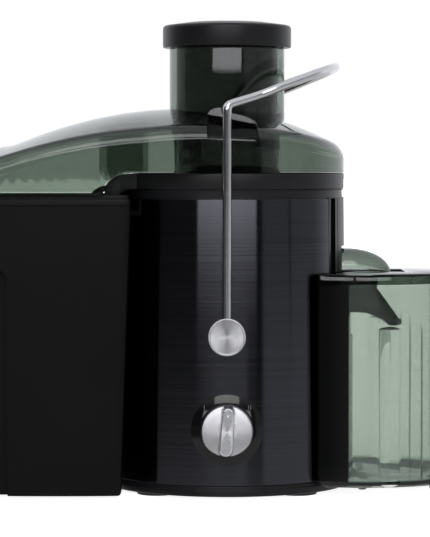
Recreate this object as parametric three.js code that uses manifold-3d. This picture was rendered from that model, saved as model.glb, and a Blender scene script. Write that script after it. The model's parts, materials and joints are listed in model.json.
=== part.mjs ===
// A centrifugal juicer: a motor drum with a filter basket under a clear lid, a pulp bin on one side,
// a juice jug on the other and a steel locking arm over the top.
// Millimetres, +Z up. The motor axis is X = 0, Y = 0. The table is Z = 0.
// +X points to the jug, -X to the pulp bin and -Y to the control side.
import * as THREE from "three";
import { mergeVertices } from "three/addons/utils/BufferGeometryUtils.js";
import Module from "manifold-3d";

const wasm = await Module();
wasm.setup();

// Driving dimensions
const GAP = 0.3; // between pieces that touch
const ROUND = 40; // facets of the big round pieces
const SMALL_ROUND = 16; // facets of the small ones

const FOOT = { radius: 14, height: 3.2, reach: 48 };
const BASE = { bottom: 2, floor: 5.5, top: 9, radius: 84.6, spigotRadius: 80.1, spigotTop: 16 };
const HOUSING = { bottom: 9.3, top: 209.2, radiusBottom: 82.9, radiusTop: 80.9, wall: 2.4 };
const DECK = { bottom: 130, top: 133, hole: 9 };
const WRAP = { bottom: 9.6, top: 202.8, clear: 0.3, thickness: 0.8, halfOpening: 32 };
const POST_HALF_ANGLE = 31.6;
const GROOVE = { x0: 71.3, x1: 75.5, y: 34.8, backing: 78.2, from: 20, to: 34, bottom: 17 };
const GLAND_Z = 26;
const COLLAR = { bottom: 209.5, top: 220.5, radius: 82, inner: 75.8 };
const BOWL = { radius: 77.6, wall: 2, bottom: 138, chimneyTop: 157 };
const CHUTE = { halfWidth: 50, cheek: 4 };
const SPOUT = { start: 79, top: 167.6, halfWidth: 18, wall: 2 };
const WINDOW = { halfWidth: 20, bottom: 118, top: 169.6 };
const PIVOT = { z: 110.6, pinRadius: 4, hubRadius: 12.65, hubFace: 93.2, hubBack: 85 };
const ROD = { radius: 3, y: 89, bendZ: 266, legY: 80.5, tipX: 76, tipZ: 294 };
const KNOB = { z: 47.6, radius: 18, bezelRadius: 24.2 };
const LID = { radius: 82, end: -197, corner: 26, wall: 2.4, edge: 7.5, floor: 206 };
const TUBE = { radius: 40.3, inner: 38, top: 307.4, bottom: 212 };
const PUSHER = { radius: 35.4, wall: 2, bottom: 220, capRadius: 45, capBottom: 307.7, capTop: 326.5 };
const BIN = { end: -197, halfWidth: 80, corner: 26, hug: 88, tip: -65, draft: 7, wall: 2.2 };
const BIN_HEIGHT = { bottom: 1.8, top: 203 };
const BIN_LIP = { top: 205.6, inset: 1.2 };
const BIN_MOUTH = { top: 193, halfWidth: 57 };
const GRIP = { x: -152, depth: 11, top: 155 };
const JUG = { end: 160, halfWidth: 66.5, widestX: 92, bow: 50, hug: 86.6, under: 5.4, top: 144.1, wall: 2.2 };
const JUG_WING = { solidTo: 83, narrowing: 4.5, reach: 31 };
const JUG_FOOT = { bottom: 0.8, radius: 3, places: [[94, 30], [144, 22]] };
const FLUTE = { x: 113.5, radius: 14, depth: 2, top: 116, rise: 2.5 };
const JUG_RIB = { x: 133, width: 1.2, depth: 1.4, top: 121 };
const JUG_LID = { bottom: 144.4, top: 151.8, cutX: 124, cutHalfWidth: 23 };
const HANDLE = { reach: 200, top: 128, bottom: 34, halfWidth: 9, thickness: 12 };
const STACK = { bottom: 55, top: 90, half: 36, bore: 19.6 };
const SHAFT_RADIUS = 4;

const degrees = THREE.MathUtils.degToRad;

// Materials
const finish = (color, roughness, metalness = 0, opacity = 1) =>
  new THREE.MeshStandardMaterial({
    color,
    roughness,
    metalness,
    opacity,
    transparent: opacity < 1,
    side: THREE.DoubleSide,
  });
const MATERIAL = {
  blackPlastic: finish(0x17171a, 0.45),
  glossBlack: finish(0x0c0c0e, 0.12),
  darkMetal: finish(0x26272b, 0.32, 0.9),
  smokyClear: finish(0x6f8273, 0.08, 0, 0.45),
  darkPlastic: finish(0x1a1c1b, 0.25),
  steel: finish(0xc9c9cc, 0.18, 1),
  satinChrome: finish(0xb9babd, 0.35, 1),
  sieveSteel: finish(0xa9abae, 0.35, 1),
  rubber: finish(0x1b1b1b, 0.85),
  copper: finish(0xa5562b, 0.4, 0.8),
  lamination: finish(0x55585c, 0.5, 0.8),
  carbon: finish(0x232323, 0.7),
  brass: finish(0xb08d4a, 0.35, 0.9),
  whitePlastic: finish(0xd9d7cf, 0.5),
};

// Solids
function solid(source) {
  const geometry = source.index ? source.toNonIndexed() : source.clone();
  const bare = new THREE.BufferGeometry().setAttribute("position", geometry.getAttribute("position"));
  const merged = mergeVertices(bare, 1e-4);
  const index = merged.index.array;
  const faces = [];
  for (let i = 0; i < index.length; i += 3) {
    const [a, b, c] = [index[i], index[i + 1], index[i + 2]];
    if (a !== b && b !== c && c !== a) faces.push(a, b, c);
  }
  const make = (triangles) =>
    new wasm.Manifold(
      new wasm.Mesh({
        numProp: 3,
        vertProperties: merged.attributes.position.array,
        triVerts: new Uint32Array(triangles),
      }),
    );
  const made = make(faces);
  return made.volume() < 0 ? make(faces.reverse()) : made;
}

function geometryOf(made) {
  const mesh = made.getMesh();
  const positions = new Float32Array(mesh.numVert * 3);
  for (let i = 0; i < mesh.numVert; i++) {
    const from = i * mesh.numProp;
    positions.set(mesh.vertProperties.subarray(from, from + 3), i * 3);
  }
  const geometry = new THREE.BufferGeometry().setAttribute(
    "position",
    new THREE.BufferAttribute(positions, 3),
  );
  geometry.setIndex(new THREE.BufferAttribute(mesh.triVerts, 1));
  geometry.computeVertexNormals();
  return geometry;
}

const join = (...parts) => parts.reduce((sum, part) => sum.add(part));
const cut = (body, ...tools) => tools.reduce((rest, tool) => rest.subtract(tool), body);

const box = (x0, x1, y0, y1, z0, z1) =>
  solid(
    new THREE.BoxGeometry(x1 - x0, y1 - y0, z1 - z0).translate(
      (x0 + x1) / 2,
      (y0 + y1) / 2,
      (z0 + z1) / 2,
    ),
  );

// A closed profile of [radius, height] turned about +Z.
function turned(profile, facets = ROUND) {
  const closed = profile[0][0] === 0 ? profile : [...profile, profile[0]];
  const points = closed.map(([r, z]) => new THREE.Vector2(r, z));
  return solid(new THREE.LatheGeometry(points, facets).rotateX(Math.PI / 2));
}

const ring = (inner, outer, z0, z1, facets = ROUND) =>
  turned(
    [
      [inner, z0],
      [outer, z0],
      [outer, z1],
      [inner, z1],
    ],
    facets,
  );

const cylinder = (radius, z0, z1, x = 0, y = 0, facets = SMALL_ROUND) =>
  solid(
    new THREE.CylinderGeometry(radius, radius, z1 - z0, facets)
      .rotateX(Math.PI / 2)
      .translate(x, y, (z0 + z1) / 2),
  );

// A cylinder along Y between two depths.
const crossCylinder = (radius, y0, y1, z, x = 0, facets = SMALL_ROUND) =>
  solid(
    new THREE.CylinderGeometry(radius, radius, Math.abs(y1 - y0), facets).translate(
      x,
      (y0 + y1) / 2,
      z,
    ),
  );

// A turned profile of [radius, depth] whose axis runs along Y through a height.
function crossTurned(profile, z, facets = SMALL_ROUND) {
  const closed = profile[0][0] === 0 ? profile : [...profile, profile[0]];
  const points = closed.map(([r, y]) => new THREE.Vector2(r, y));
  return solid(new THREE.LatheGeometry(points, facets).translate(0, 0, z));
}

// A shape drawn in X and Y, raised from z0 to z1.
const raised = (points, z0, z1) =>
  solid(
    new THREE.ExtrudeGeometry(new THREE.Shape(points), {
      depth: z1 - z0,
      bevelEnabled: false,
      curveSegments: 8,
    }).translate(0, 0, z0),
  );

// A shape drawn in X and Z, pushed along Y from y0 to y1.
const sideways = (points, y0, y1) =>
  solid(
    new THREE.ExtrudeGeometry(new THREE.Shape(points), {
      depth: y1 - y0,
      bevelEnabled: false,
    })
      .rotateX(Math.PI / 2)
      .translate(0, y1, 0),
  );

const outline = (pairs) => pairs.map(([x, y]) => new THREE.Vector2(x, y));

// Points of an elliptical or round arc, from one angle to another in degrees.
function ellipseArc(x, y, radiusX, radiusY, from, to, steps) {
  return Array.from({ length: steps + 1 }, (_, i) => {
    const angle = degrees(from + ((to - from) * i) / steps);
    return [x + radiusX * Math.cos(angle), y + radiusY * Math.sin(angle)];
  });
}
const arc = (x, y, radius, from, to, steps) => ellipseArc(x, y, radius, radius, from, to, steps);

// Rings of equally many points, stitched one to the next. A fan closes an end where a centre is given.
function stitched(rings, firstCentre, lastCentre) {
  const positions = [];
  const triangle = (a, b, c) => positions.push(...a, ...b, ...c);
  const count = rings[0].length;
  for (let level = 0; level + 1 < rings.length; level++) {
    const [below, above] = [rings[level], rings[level + 1]];
    for (let i = 0; i < count; i++) {
      const next = (i + 1) % count;
      triangle(below[i], below[next], above[next]);
      triangle(below[i], above[next], above[i]);
    }
  }
  const fan = (loop, centre, flip) => {
    for (let i = 0; i < count; i++) {
      const next = (i + 1) % count;
      if (flip) triangle(loop[next], loop[i], centre);
      else triangle(loop[i], loop[next], centre);
    }
  };
  if (firstCentre) fan(rings[0], firstCentre, true);
  if (lastCentre) fan(rings[rings.length - 1], lastCentre, false);
  const geometry = new THREE.BufferGeometry().setAttribute(
    "position",
    new THREE.Float32BufferAttribute(positions, 3),
  );
  return solid(geometry);
}

// A vessel's skin: an outline that can be inset, at heights with an inset each.
function lofted(outlineAt, levels, centreX) {
  const rings = levels.map(([z, inset]) => outlineAt(inset, z).map(([x, y]) => [x, y, z]));
  const first = [centreX, 0, levels[0][0]];
  const last = [centreX, 0, levels[levels.length - 1][0]];
  return stitched(rings, first, last);
}

// A wedge that opens towards +X, to cut round pieces with.
function wedge(halfAngle, z0, z1) {
  const far = 130;
  const side = far * Math.tan(degrees(halfAngle));
  return raised(
    outline([
      [0, 0],
      [far, -side],
      [far, side],
    ]),
    z0,
    z1,
  );
}

const part = new THREE.Group();
function group(x = 0, y = 0, z = 0) {
  const made = new THREE.Group();
  made.position.set(x, y, z);
  part.add(made);
  return made;
}
function add(name, material, made, parent = part) {
  const mesh = new THREE.Mesh(geometryOf(made), material);
  mesh.name = name;
  parent.add(mesh);
  return mesh;
}

// Base: plate, feet and screws
const SCREW_ANGLES = [20, 110, 200, 290];
const SCREW_REACH = 72.5;
const polar = (radius, angle) => [
  radius * Math.cos(degrees(angle)),
  radius * Math.sin(degrees(angle)),
];
const FOOT_PLACES = [
  [-1, -1],
  [1, -1],
  [1, 1],
  [-1, 1],
].map(([x, y]) => [x * FOOT.reach, y * FOOT.reach]);

const basePlate = turned([
  [0, BASE.bottom],
  [BASE.radius - 1, BASE.bottom],
  [BASE.radius, BASE.bottom + 1],
  [BASE.radius - 0.4, BASE.top],
  [BASE.spigotRadius, BASE.top],
  [BASE.spigotRadius, BASE.spigotTop],
  [BASE.spigotRadius - 1.6, BASE.spigotTop],
  [BASE.spigotRadius - 1.6, BASE.floor],
  [0, BASE.floor],
]);
const footPockets = FOOT_PLACES.map(([x, y]) =>
  cylinder(FOOT.radius + GAP, BASE.bottom - 1, FOOT.height + GAP, x, y),
);
const screwHoles = SCREW_ANGLES.flatMap((angle) => {
  const [x, y] = polar(SCREW_REACH, angle);
  return [
    cylinder(1.9, BASE.bottom - 1, BASE.floor + 1, x, y, 12),
    cylinder(3.6, BASE.bottom - 1, BASE.bottom + 2.2, x, y, 12),
  ];
});
add("base_plate", MATERIAL.blackPlastic, cut(basePlate, ...footPockets, ...screwHoles));

FOOT_PLACES.forEach(([x, y], i) => {
  const foot = turned(
    [
      [0, 0],
      [FOOT.radius - 1.4, 0],
      [FOOT.radius, 1.4],
      [FOOT.radius, FOOT.height],
      [0, FOOT.height],
    ],
    SMALL_ROUND,
  );
  add(`foot_${i + 1}`, MATERIAL.rubber, foot, group(x, y, 0));
});

SCREW_ANGLES.forEach((angle, i) => {
  const [x, y] = polar(SCREW_REACH, angle);
  const head = BASE.bottom + 2;
  const screw = turned(
    [
      [0, head - 1.8],
      [3.2, head - 1.8],
      [3.2, head],
      [1.6, head],
      [1.6, 20],
      [0, 20],
    ],
    12,
  );
  add(`base_screw_${i + 1}`, MATERIAL.steel, screw, group(x, y, 0));
});

// Housing: drum, deck, post beside the spout, screw bosses and damper posts
const DRAFT = (HOUSING.radiusBottom - HOUSING.radiusTop) / (HOUSING.top - HOUSING.bottom);
const drumRadius = (z) => HOUSING.radiusBottom - DRAFT * (z - HOUSING.bottom);
const wrapRadius = (z) => drumRadius(z) + WRAP.clear;
const skinRadius = (z) => wrapRadius(z) + WRAP.thickness;
const BAND_BOTTOM = WRAP.top + GAP;

const drum = turned([
  [drumRadius(HOUSING.bottom), HOUSING.bottom],
  [drumRadius(BAND_BOTTOM), BAND_BOTTOM],
  [skinRadius(BAND_BOTTOM), BAND_BOTTOM],
  [skinRadius(HOUSING.top), HOUSING.top],
  [drumRadius(HOUSING.top) - HOUSING.wall, HOUSING.top],
  [drumRadius(DECK.top) - HOUSING.wall, DECK.top],
  [DECK.hole, DECK.top],
  [DECK.hole, DECK.bottom],
  [drumRadius(DECK.bottom) - HOUSING.wall, DECK.bottom],
  [drumRadius(HOUSING.bottom) - HOUSING.wall, HOUSING.bottom],
]);
const postRing = turned([
  [drumRadius(HOUSING.bottom) - 1, HOUSING.bottom],
  [skinRadius(HOUSING.bottom), HOUSING.bottom],
  [skinRadius(BAND_BOTTOM), BAND_BOTTOM + 0.5],
  [drumRadius(BAND_BOTTOM) - 1, BAND_BOTTOM + 0.5],
]);
const post = postRing.intersect(wedge(POST_HALF_ANGLE, 0, 220));
// Upright grooves beside the wrap's ends, with the wall thickened behind them
const grooveBacking = turned([
  [GROOVE.backing, GROOVE.bottom - 0.5],
  [drumRadius(HOUSING.bottom) - 1.5, GROOVE.bottom - 0.5],
  [drumRadius(BAND_BOTTOM) - 0.5, BAND_BOTTOM],
  [GROOVE.backing, BAND_BOTTOM],
]).intersect(cut(wedge(GROOVE.to, 0, 220), wedge(GROOVE.from, -1, 221)));
const grooves = [-1, 1].map((side) => {
  const [y0, y1] = [side * GROOVE.y, side * 60].sort((a, b) => a - b);
  return box(GROOVE.x0, GROOVE.x1, y0, y1, GROOVE.bottom, BAND_BOTTOM);
});
const DAMPER_PLACES = [
  [-44, -12],
  [44, -12],
  [44, 12],
  [-44, 12],
];
const damperPosts = DAMPER_PLACES.map(([x, y]) => cylinder(6, 115, DECK.bottom + 1, x, y, 12));
const screwBosses = SCREW_ANGLES.map((angle) => {
  const [x, y] = polar(SCREW_REACH, angle);
  const rib = new THREE.BoxGeometry(8, 3, 16)
    .translate(76.5, 0, 26)
    .rotateZ(degrees(angle));
  return cut(
    join(cylinder(4.5, BASE.floor + GAP, 34, x, y, 12), solid(rib)),
    cylinder(1.9, BASE.floor - 1, 22, x, y, 12),
  );
});
const spoutWindow = box(
  DECK.hole + 60,
  100,
  -WINDOW.halfWidth,
  WINDOW.halfWidth,
  WINDOW.bottom,
  WINDOW.top,
);
const pivotHoles = (radius) => crossCylinder(radius, -100, 100, PIVOT.z);
const knobHole = (radius) => crossCylinder(radius, -100, -60, KNOB.z);
const glandHole = (radius) => crossCylinder(radius, 60, 100, GLAND_Z);
add(
  "housing_shell",
  MATERIAL.blackPlastic,
  cut(
    join(drum, post, grooveBacking, ...damperPosts, ...screwBosses),
    ...grooves,
    spoutWindow,
    pivotHoles(8.3),
    knobHole(6),
    glandHole(6.3),
  ),
);

const wrapRing = turned([
  [wrapRadius(WRAP.bottom), WRAP.bottom],
  [skinRadius(WRAP.bottom), WRAP.bottom],
  [skinRadius(WRAP.top), WRAP.top],
  [wrapRadius(WRAP.top), WRAP.top],
]);
add(
  "wrap_panel",
  MATERIAL.darkMetal,
  cut(
    wrapRing,
    wedge(WRAP.halfOpening, 0, 220),
    pivotHoles(5),
    knobHole(6),
    glandHole(8),
  ),
);

// Juice collector with its collar, pulp chute and outlet
const bowl = turned([
  [15, BOWL.bottom],
  [BOWL.radius - 6, BOWL.bottom],
  [BOWL.radius, BOWL.bottom + 6],
  [BOWL.radius, COLLAR.bottom],
  [COLLAR.radius, COLLAR.bottom],
  [COLLAR.radius, COLLAR.top - 1],
  [COLLAR.radius - 1, COLLAR.top],
  [COLLAR.inner, COLLAR.top],
  [BOWL.radius - BOWL.wall, COLLAR.bottom - 2],
  [BOWL.radius - BOWL.wall, BOWL.bottom + 7],
  [BOWL.radius - 7, BOWL.bottom + 2],
  [17, BOWL.bottom + 2],
  [17, BOWL.chimneyTop],
  [15, BOWL.chimneyTop],
]);
const chuteFloor = sideways(
  outline([
    [-74, 209.5],
    [-84, 209.5],
    [-88.6, 207.3],
    [-91, 202.5],
    [-91.5, 198],
    [-93.5, 198],
    [-93, 203],
    [-90, 209],
    [-84, 211.7],
    [-74, 211.7],
  ]),
  -CHUTE.halfWidth - 1,
  CHUTE.halfWidth + 1,
);
const floorTail = box(-76, -50, -CHUTE.halfWidth - 1, CHUTE.halfWidth + 1, 209.5, 211.7);
const floorOutsideBowl = cut(floorTail, cylinder(COLLAR.inner, 200, 215, 0, 0, ROUND));
const cheekShape = outline([
  [-55, 209.5],
  [-66.5, 209.5],
  [-70, 208],
  [-73.5, 203.5],
  [-74.5, 198],
  [-84.5, 198],
  [-83.5, 207],
  [-81.5, 212.5],
  [-77, 217],
  [-70, 219.8],
  [-55, 220.5],
]);
const cheeks = [-1, 1].map((side) => {
  const middle = side * (CHUTE.halfWidth + CHUTE.cheek / 2);
  return sideways(cheekShape, middle - CHUTE.cheek / 2, middle + CHUTE.cheek / 2);
});
const pulpMouth = box(-90, -40, -CHUTE.halfWidth, CHUTE.halfWidth, 211.7, 222);
const bowlOutlet = box(60, 90, -14, 14, BOWL.bottom + 2.5, BOWL.bottom + 24);
add(
  "juice_collector",
  MATERIAL.blackPlastic,
  cut(
    join(cut(bowl, pulpMouth), chuteFloor, floorOutsideBowl, ...cheeks),
    bowlOutlet,
  ),
);

// Juice spout: a hood over a beak, open towards the bowl and at the beak's end
const HOOD = { x: 84, z: 150.7, reach: 31 };
const hoodArc = ellipseArc(HOOD.x, HOOD.z, HOOD.reach, SPOUT.top - HOOD.z, 90, 0, 8);
const spoutOuter = sideways(
  outline([
    [SPOUT.start, 122],
    [SPOUT.start, SPOUT.top],
    ...hoodArc,
    [108, 148],
    [108, 139.5],
    [122, 115.5],
    [117, 112.5],
    [110, 118],
  ]),
  -SPOUT.halfWidth,
  SPOUT.halfWidth,
);
const spoutHollow = sideways(
  outline([
    [SPOUT.start - 1, 124.2],
    [SPOUT.start - 1, SPOUT.top - 2],
    [92, SPOUT.top - 2.6],
    [102, SPOUT.top - 5.5],
    [105.8, 156],
    [105.8, 139],
    [120.6, 112],
    [118, 108],
    [110.5, 120.3],
  ]),
  SPOUT.wall - SPOUT.halfWidth,
  SPOUT.halfWidth - SPOUT.wall,
);
add("juice_spout", MATERIAL.smokyClear, cut(spoutOuter, spoutHollow));

// Rotor: basket, grater, coupling, shaft and armature
add(
  "filter_basket",
  MATERIAL.sieveSteel,
  turned([
    [11.5, 146],
    [13.5, 146],
    [13.5, 162],
    [46.5, 162],
    [62.5, 200],
    [67, 200.6],
    [67, 203],
    [61.2, 203],
    [45.4, 163.6],
    [11.5, 163.6],
  ]),
);
const graterPlate = turned([
  [0, 164],
  [43.5, 164],
  [43.5, 165.2],
  [12, 165.2],
  [8, 168],
  [0, 169],
]);
const graterTeeth = Array.from({ length: 18 }, (_, i) => {
  const [x, y] = polar(18 + 8 * (i % 3), i * 20);
  return solid(
    new THREE.ConeGeometry(1.4, 2.4, 3)
      .rotateX(Math.PI / 2)
      .translate(x, y, 165.9),
  );
});
add("grater_disc", MATERIAL.steel, join(graterPlate, ...graterTeeth));

const splined = (outer, inner, teeth) =>
  outline(
    Array.from({ length: teeth * 4 }, (_, i) =>
      polar(i % 4 < 2 ? outer : inner, ((i + 0.5) * 90) / teeth),
    ),
  );
const bored = (points, radius, z0, z1) =>
  cut(raised(points, z0, z1), cylinder(radius, z0 - 1, z1 + 1));
const SHAFT_BORE = SHAFT_RADIUS + GAP;
add("drive_coupling", MATERIAL.whitePlastic, bored(splined(11.1, 9.6, 6), SHAFT_BORE, 136, 158));
add("motor_shaft", MATERIAL.steel, cylinder(SHAFT_RADIUS, 20, 157));
add(
  "armature_core",
  MATERIAL.lamination,
  bored(splined(18.8, 15.5, 11), SHAFT_BORE, STACK.bottom, STACK.top),
);
[
  ["lower", 47, STACK.bottom - GAP],
  ["upper", STACK.top + GAP, 98],
].forEach(([name, z0, z1]) => {
  const winding = turned(
    [
      [6, z0],
      [14, z0],
      [17, z0 + 2.5],
      [17, z1 - 2],
      [14, z1],
      [6, z1],
    ],
    SMALL_ROUND,
  );
  add(`armature_winding_${name}`, MATERIAL.copper, winding);
});
add("commutator", MATERIAL.copper, bored(splined(11, 10.4, 8), SHAFT_BORE, 33, 46));

const fanHub = cylinder(9, 112, 124);
const fanDisc = cylinder(30, 112, 113.6);
const fanBlades = Array.from({ length: 9 }, (_, i) =>
  solid(
    new THREE.BoxGeometry(21, 1.4, 9)
      .translate(18.5, 0, 117.5)
      .rotateZ(degrees(i * 40)),
  ),
);
add(
  "cooling_fan",
  MATERIAL.darkPlastic,
  cut(join(fanHub, fanDisc, ...fanBlades), cylinder(SHAFT_BORE, 110, 126)),
);

// Motor: stator, coils, brackets, bearings and brushes
const STACK_CORNER = 8;
const STACK_INNER = STACK.half - STACK_CORNER;
const stackShape = outline([
  ...arc(STACK_INNER, -STACK_INNER, STACK_CORNER, -90, 0, 4),
  ...arc(STACK_INNER, STACK_INNER, STACK_CORNER, 0, 90, 4),
  ...arc(-STACK_INNER, STACK_INNER, STACK_CORNER, 90, 180, 4),
  ...arc(-STACK_INNER, -STACK_INNER, STACK_CORNER, 180, 270, 4),
]);
const COIL = { inner: 13.4, outer: 26.6, near: 20.6, far: 26.6 };
const slots = [-1, 1].flatMap((sx) =>
  [-1, 1].map((sy) => {
    const [x0, x1] = [sx * (COIL.inner - 0.4), sx * (COIL.outer + 0.4)].sort((a, b) => a - b);
    const [y0, y1] = [sy * (COIL.near - 0.4), sy * (COIL.far + 0.4)].sort((a, b) => a - b);
    return box(x0, x1, y0, y1, STACK.bottom - 1, STACK.top + 1);
  }),
);
add(
  "motor_stator",
  MATERIAL.lamination,
  cut(
    raised(stackShape, STACK.bottom, STACK.top),
    cylinder(STACK.bore, 50, 95, 0, 0, 28),
    ...slots,
  ),
);
[
  ["front", -1],
  ["rear", 1],
].forEach(([name, side]) => {
  const [y0, y1] = [side * COIL.near, side * COIL.far].sort((a, b) => a - b);
  const coil = cut(
    box(-COIL.outer, COIL.outer, y0, y1, 47.5, 97.5),
    box(-COIL.inner, COIL.inner, y0 - 1, y1 + 1, STACK.bottom - GAP, STACK.top + GAP),
  );
  add(`field_coil_${name}`, MATERIAL.copper, coil);

  const [h0, h1] = [side * 14, side * 32].sort((a, b) => a - b);
  const holder = cut(
    box(-6, 6, h0, h1, 30.3, 44),
    box(-4.3, 4.3, h0 - 1, h1 + 1, 34.7, 43.3),
    box(-2, 2, h0 - 1, h1 + 1, 42, 46),
  );
  add(`brush_holder_${name}`, MATERIAL.brass, holder);

  const [b0, b1] = [side * 11.4, side * 27].sort((a, b) => a - b);
  add(`carbon_brush_${name}`, MATERIAL.carbon, box(-4, 4, b0, b1, 35, 43));
});

const BEARING = { radius: 9, height: 6, lower: 22.5, upper: 101.5 };
const pocket = (z) => cylinder(BEARING.radius + GAP, z - 1, z + BEARING.height + GAP);
const lowerBracket = cut(
  join(
    box(-36, 36, -6, 6, 24, 30),
    box(-6, 6, -34, 34, 24, 30),
    cylinder(14, 22, 30),
    box(-35.5, -28, -6, 6, 29, STACK.bottom - GAP),
    box(28, 35.5, -6, 6, 29, STACK.bottom - GAP),
  ),
  pocket(BEARING.lower),
  cylinder(SHAFT_BORE + 0.7, 20, 32),
);
add("lower_bracket", MATERIAL.lamination, lowerBracket);
const upperBracket = cut(
  join(
    box(-52, 52, -19, 19, 104, 108),
    cylinder(14, 100.8, 108),
    box(-35.5, -28, -6, 6, STACK.top + GAP, 105),
    box(28, 35.5, -6, 6, STACK.top + GAP, 105),
  ),
  pocket(BEARING.upper),
  cylinder(SHAFT_BORE + 0.7, 100, 110),
);
add("upper_bracket", MATERIAL.lamination, upperBracket);
["lower", "upper"].forEach((name) => {
  const z = BEARING[name];
  add(`${name}_bearing`, MATERIAL.steel, ring(SHAFT_BORE, BEARING.radius, z, z + BEARING.height, 24));
});
DAMPER_PLACES.forEach(([x, y], i) => {
  add(`damper_${i + 1}`, MATERIAL.rubber, cylinder(6, 0, 6.4, 0, 0, 12), group(x, y, 108.3));
});
add(
  "shaft_seal",
  MATERIAL.rubber,
  turned(
    [
      [4.5, 129],
      [8.6, 129],
      [8.6, 133.3],
      [10.5, 133.3],
      [10.5, 134.6],
      [4.5, 134.6],
    ],
    SMALL_ROUND,
  ),
);

// Controls: bezel, knob and the switches behind them
const drumTool = (clear) =>
  turned([
    [0, 0],
    [skinRadius(0) + clear, 0],
    [skinRadius(200) + clear, 200],
    [0, 200],
  ]);
const bezel = crossTurned(
  [
    [6, -70],
    [KNOB.bezelRadius, -70],
    [KNOB.bezelRadius, -85],
    [KNOB.radius + 0.3, -87],
    [6, -87],
  ],
  KNOB.z,
  32,
);
add("dial_bezel", MATERIAL.glossBlack, cut(bezel, drumTool(GAP)));

const knobSkirt = crossTurned(
  [
    [0, -87.3],
    [KNOB.radius, -87.3],
    [KNOB.radius - 0.5, -94],
    [KNOB.radius - 1.5, -95],
    [0, -95],
  ],
  KNOB.z,
  32,
);
const knobBar = box(-4.2, 4.2, -103, -94, KNOB.z - 16.5, KNOB.z + 16.5);
const knobStem = crossCylinder(3.5, -88, -72, KNOB.z, 0, 16);
add("control_knob", MATERIAL.satinChrome, join(knobSkirt, knobBar, knobStem));
add(
  "selector_switch",
  MATERIAL.darkPlastic,
  cut(box(-14, 14, -76, -54, KNOB.z - 11, KNOB.z + 11), crossCylinder(4, -80, -68, KNOB.z, 0, 16)),
);
add("arm_interlock_switch", MATERIAL.darkPlastic, box(12, 34, -67, -58, 102, 114));
add(
  "cord_gland",
  MATERIAL.rubber,
  crossTurned(
    [
      [3.6, 76],
      [6, 76],
      [6, 84.6],
      [10, 84.6],
      [8, 92],
      [5.4, 101],
      [3.6, 101],
    ],
    GLAND_Z,
  ),
);

// Locking arm: bushes, hubs with their pins, clips and the bent rod
[
  ["front", -1],
  ["rear", 1],
].forEach(([name, side]) => {
  const bush = crossTurned(
    [
      [PIVOT.pinRadius + GAP, side * 81.3],
      [8, side * 81.3],
      [8, side * 78.3],
      [11, side * 78.3],
      [11, side * 75.8],
      [PIVOT.pinRadius + GAP, side * 75.8],
    ],
    PIVOT.z,
  );
  add(`pivot_bush_${name}`, MATERIAL.whitePlastic, bush);

  const hub = join(
    crossTurned(
      [
        [0, side * PIVOT.hubBack],
        [PIVOT.hubRadius, side * PIVOT.hubBack],
        [PIVOT.hubRadius, side * (PIVOT.hubFace - 1)],
        [PIVOT.hubRadius - 1, side * PIVOT.hubFace],
        [0, side * PIVOT.hubFace],
      ],
      PIVOT.z,
      24,
    ),
    crossCylinder(PIVOT.pinRadius, side * 72, side * (PIVOT.hubBack + 1), PIVOT.z),
  );
  const rodHole = cylinder(ROD.radius + GAP, PIVOT.z + 5, PIVOT.z + 20, 0, side * ROD.y, 12);
  add(`arm_hub_${name}`, MATERIAL.satinChrome, cut(hub, rodHole));

  const clip = crossTurned(
    [
      [PIVOT.pinRadius + GAP, side * 75.4],
      [7.5, side * 75.4],
      [7.5, side * 74.4],
      [PIVOT.pinRadius + GAP, side * 74.4],
    ],
    PIVOT.z,
  );
  add(`pivot_clip_${name}`, MATERIAL.steel, clip);
});

// The rod's route: up one side, a step inwards over the latch boss, a slanted loop round the tube.
const LOOP_POWER = 2 / 2.6;
const LOOP_START_X = 4;
function loopPoint(turn) {
  const angle = degrees(turn);
  const reach = Math.pow(Math.cos(angle), LOOP_POWER);
  const spread = Math.sign(turn) * Math.pow(Math.abs(Math.sin(angle)), LOOP_POWER);
  const x = LOOP_START_X + (ROD.tipX - LOOP_START_X) * reach;
  const z = ROD.bendZ + (ROD.tipZ - ROD.bendZ) * reach;
  return new THREE.Vector3(x, ROD.legY * spread, z);
}
const rodSide = (side) =>
  [
    [0, ROD.y, PIVOT.z + 5.5],
    [0, ROD.y, 180],
    [0, ROD.y, 240],
    [0, ROD.y, 257],
    [0.3, ROD.y - 1, 262.5],
    [1.6, ROD.y - 4, ROD.bendZ - 0.8],
  ].map(([x, y, z]) => new THREE.Vector3(x, side * y, z));
const loopTurns = [-82, -74, -64, -52, -38, -20, 0, 20, 38, 52, 64, 74, 82];
const rodPath = new THREE.CatmullRomCurve3(
  [...rodSide(-1), ...loopTurns.map(loopPoint), ...rodSide(1).reverse()],
  false,
  "centripetal",
);
const rodSection = outline(arc(0, 0, ROD.radius, 0, 315, 7));
add(
  "locking_arm",
  MATERIAL.steel,
  solid(
    new THREE.ExtrudeGeometry(new THREE.Shape(rodSection), {
      steps: 60,
      extrudePath: rodPath,
      bevelEnabled: false,
    }),
  ),
);

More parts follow.
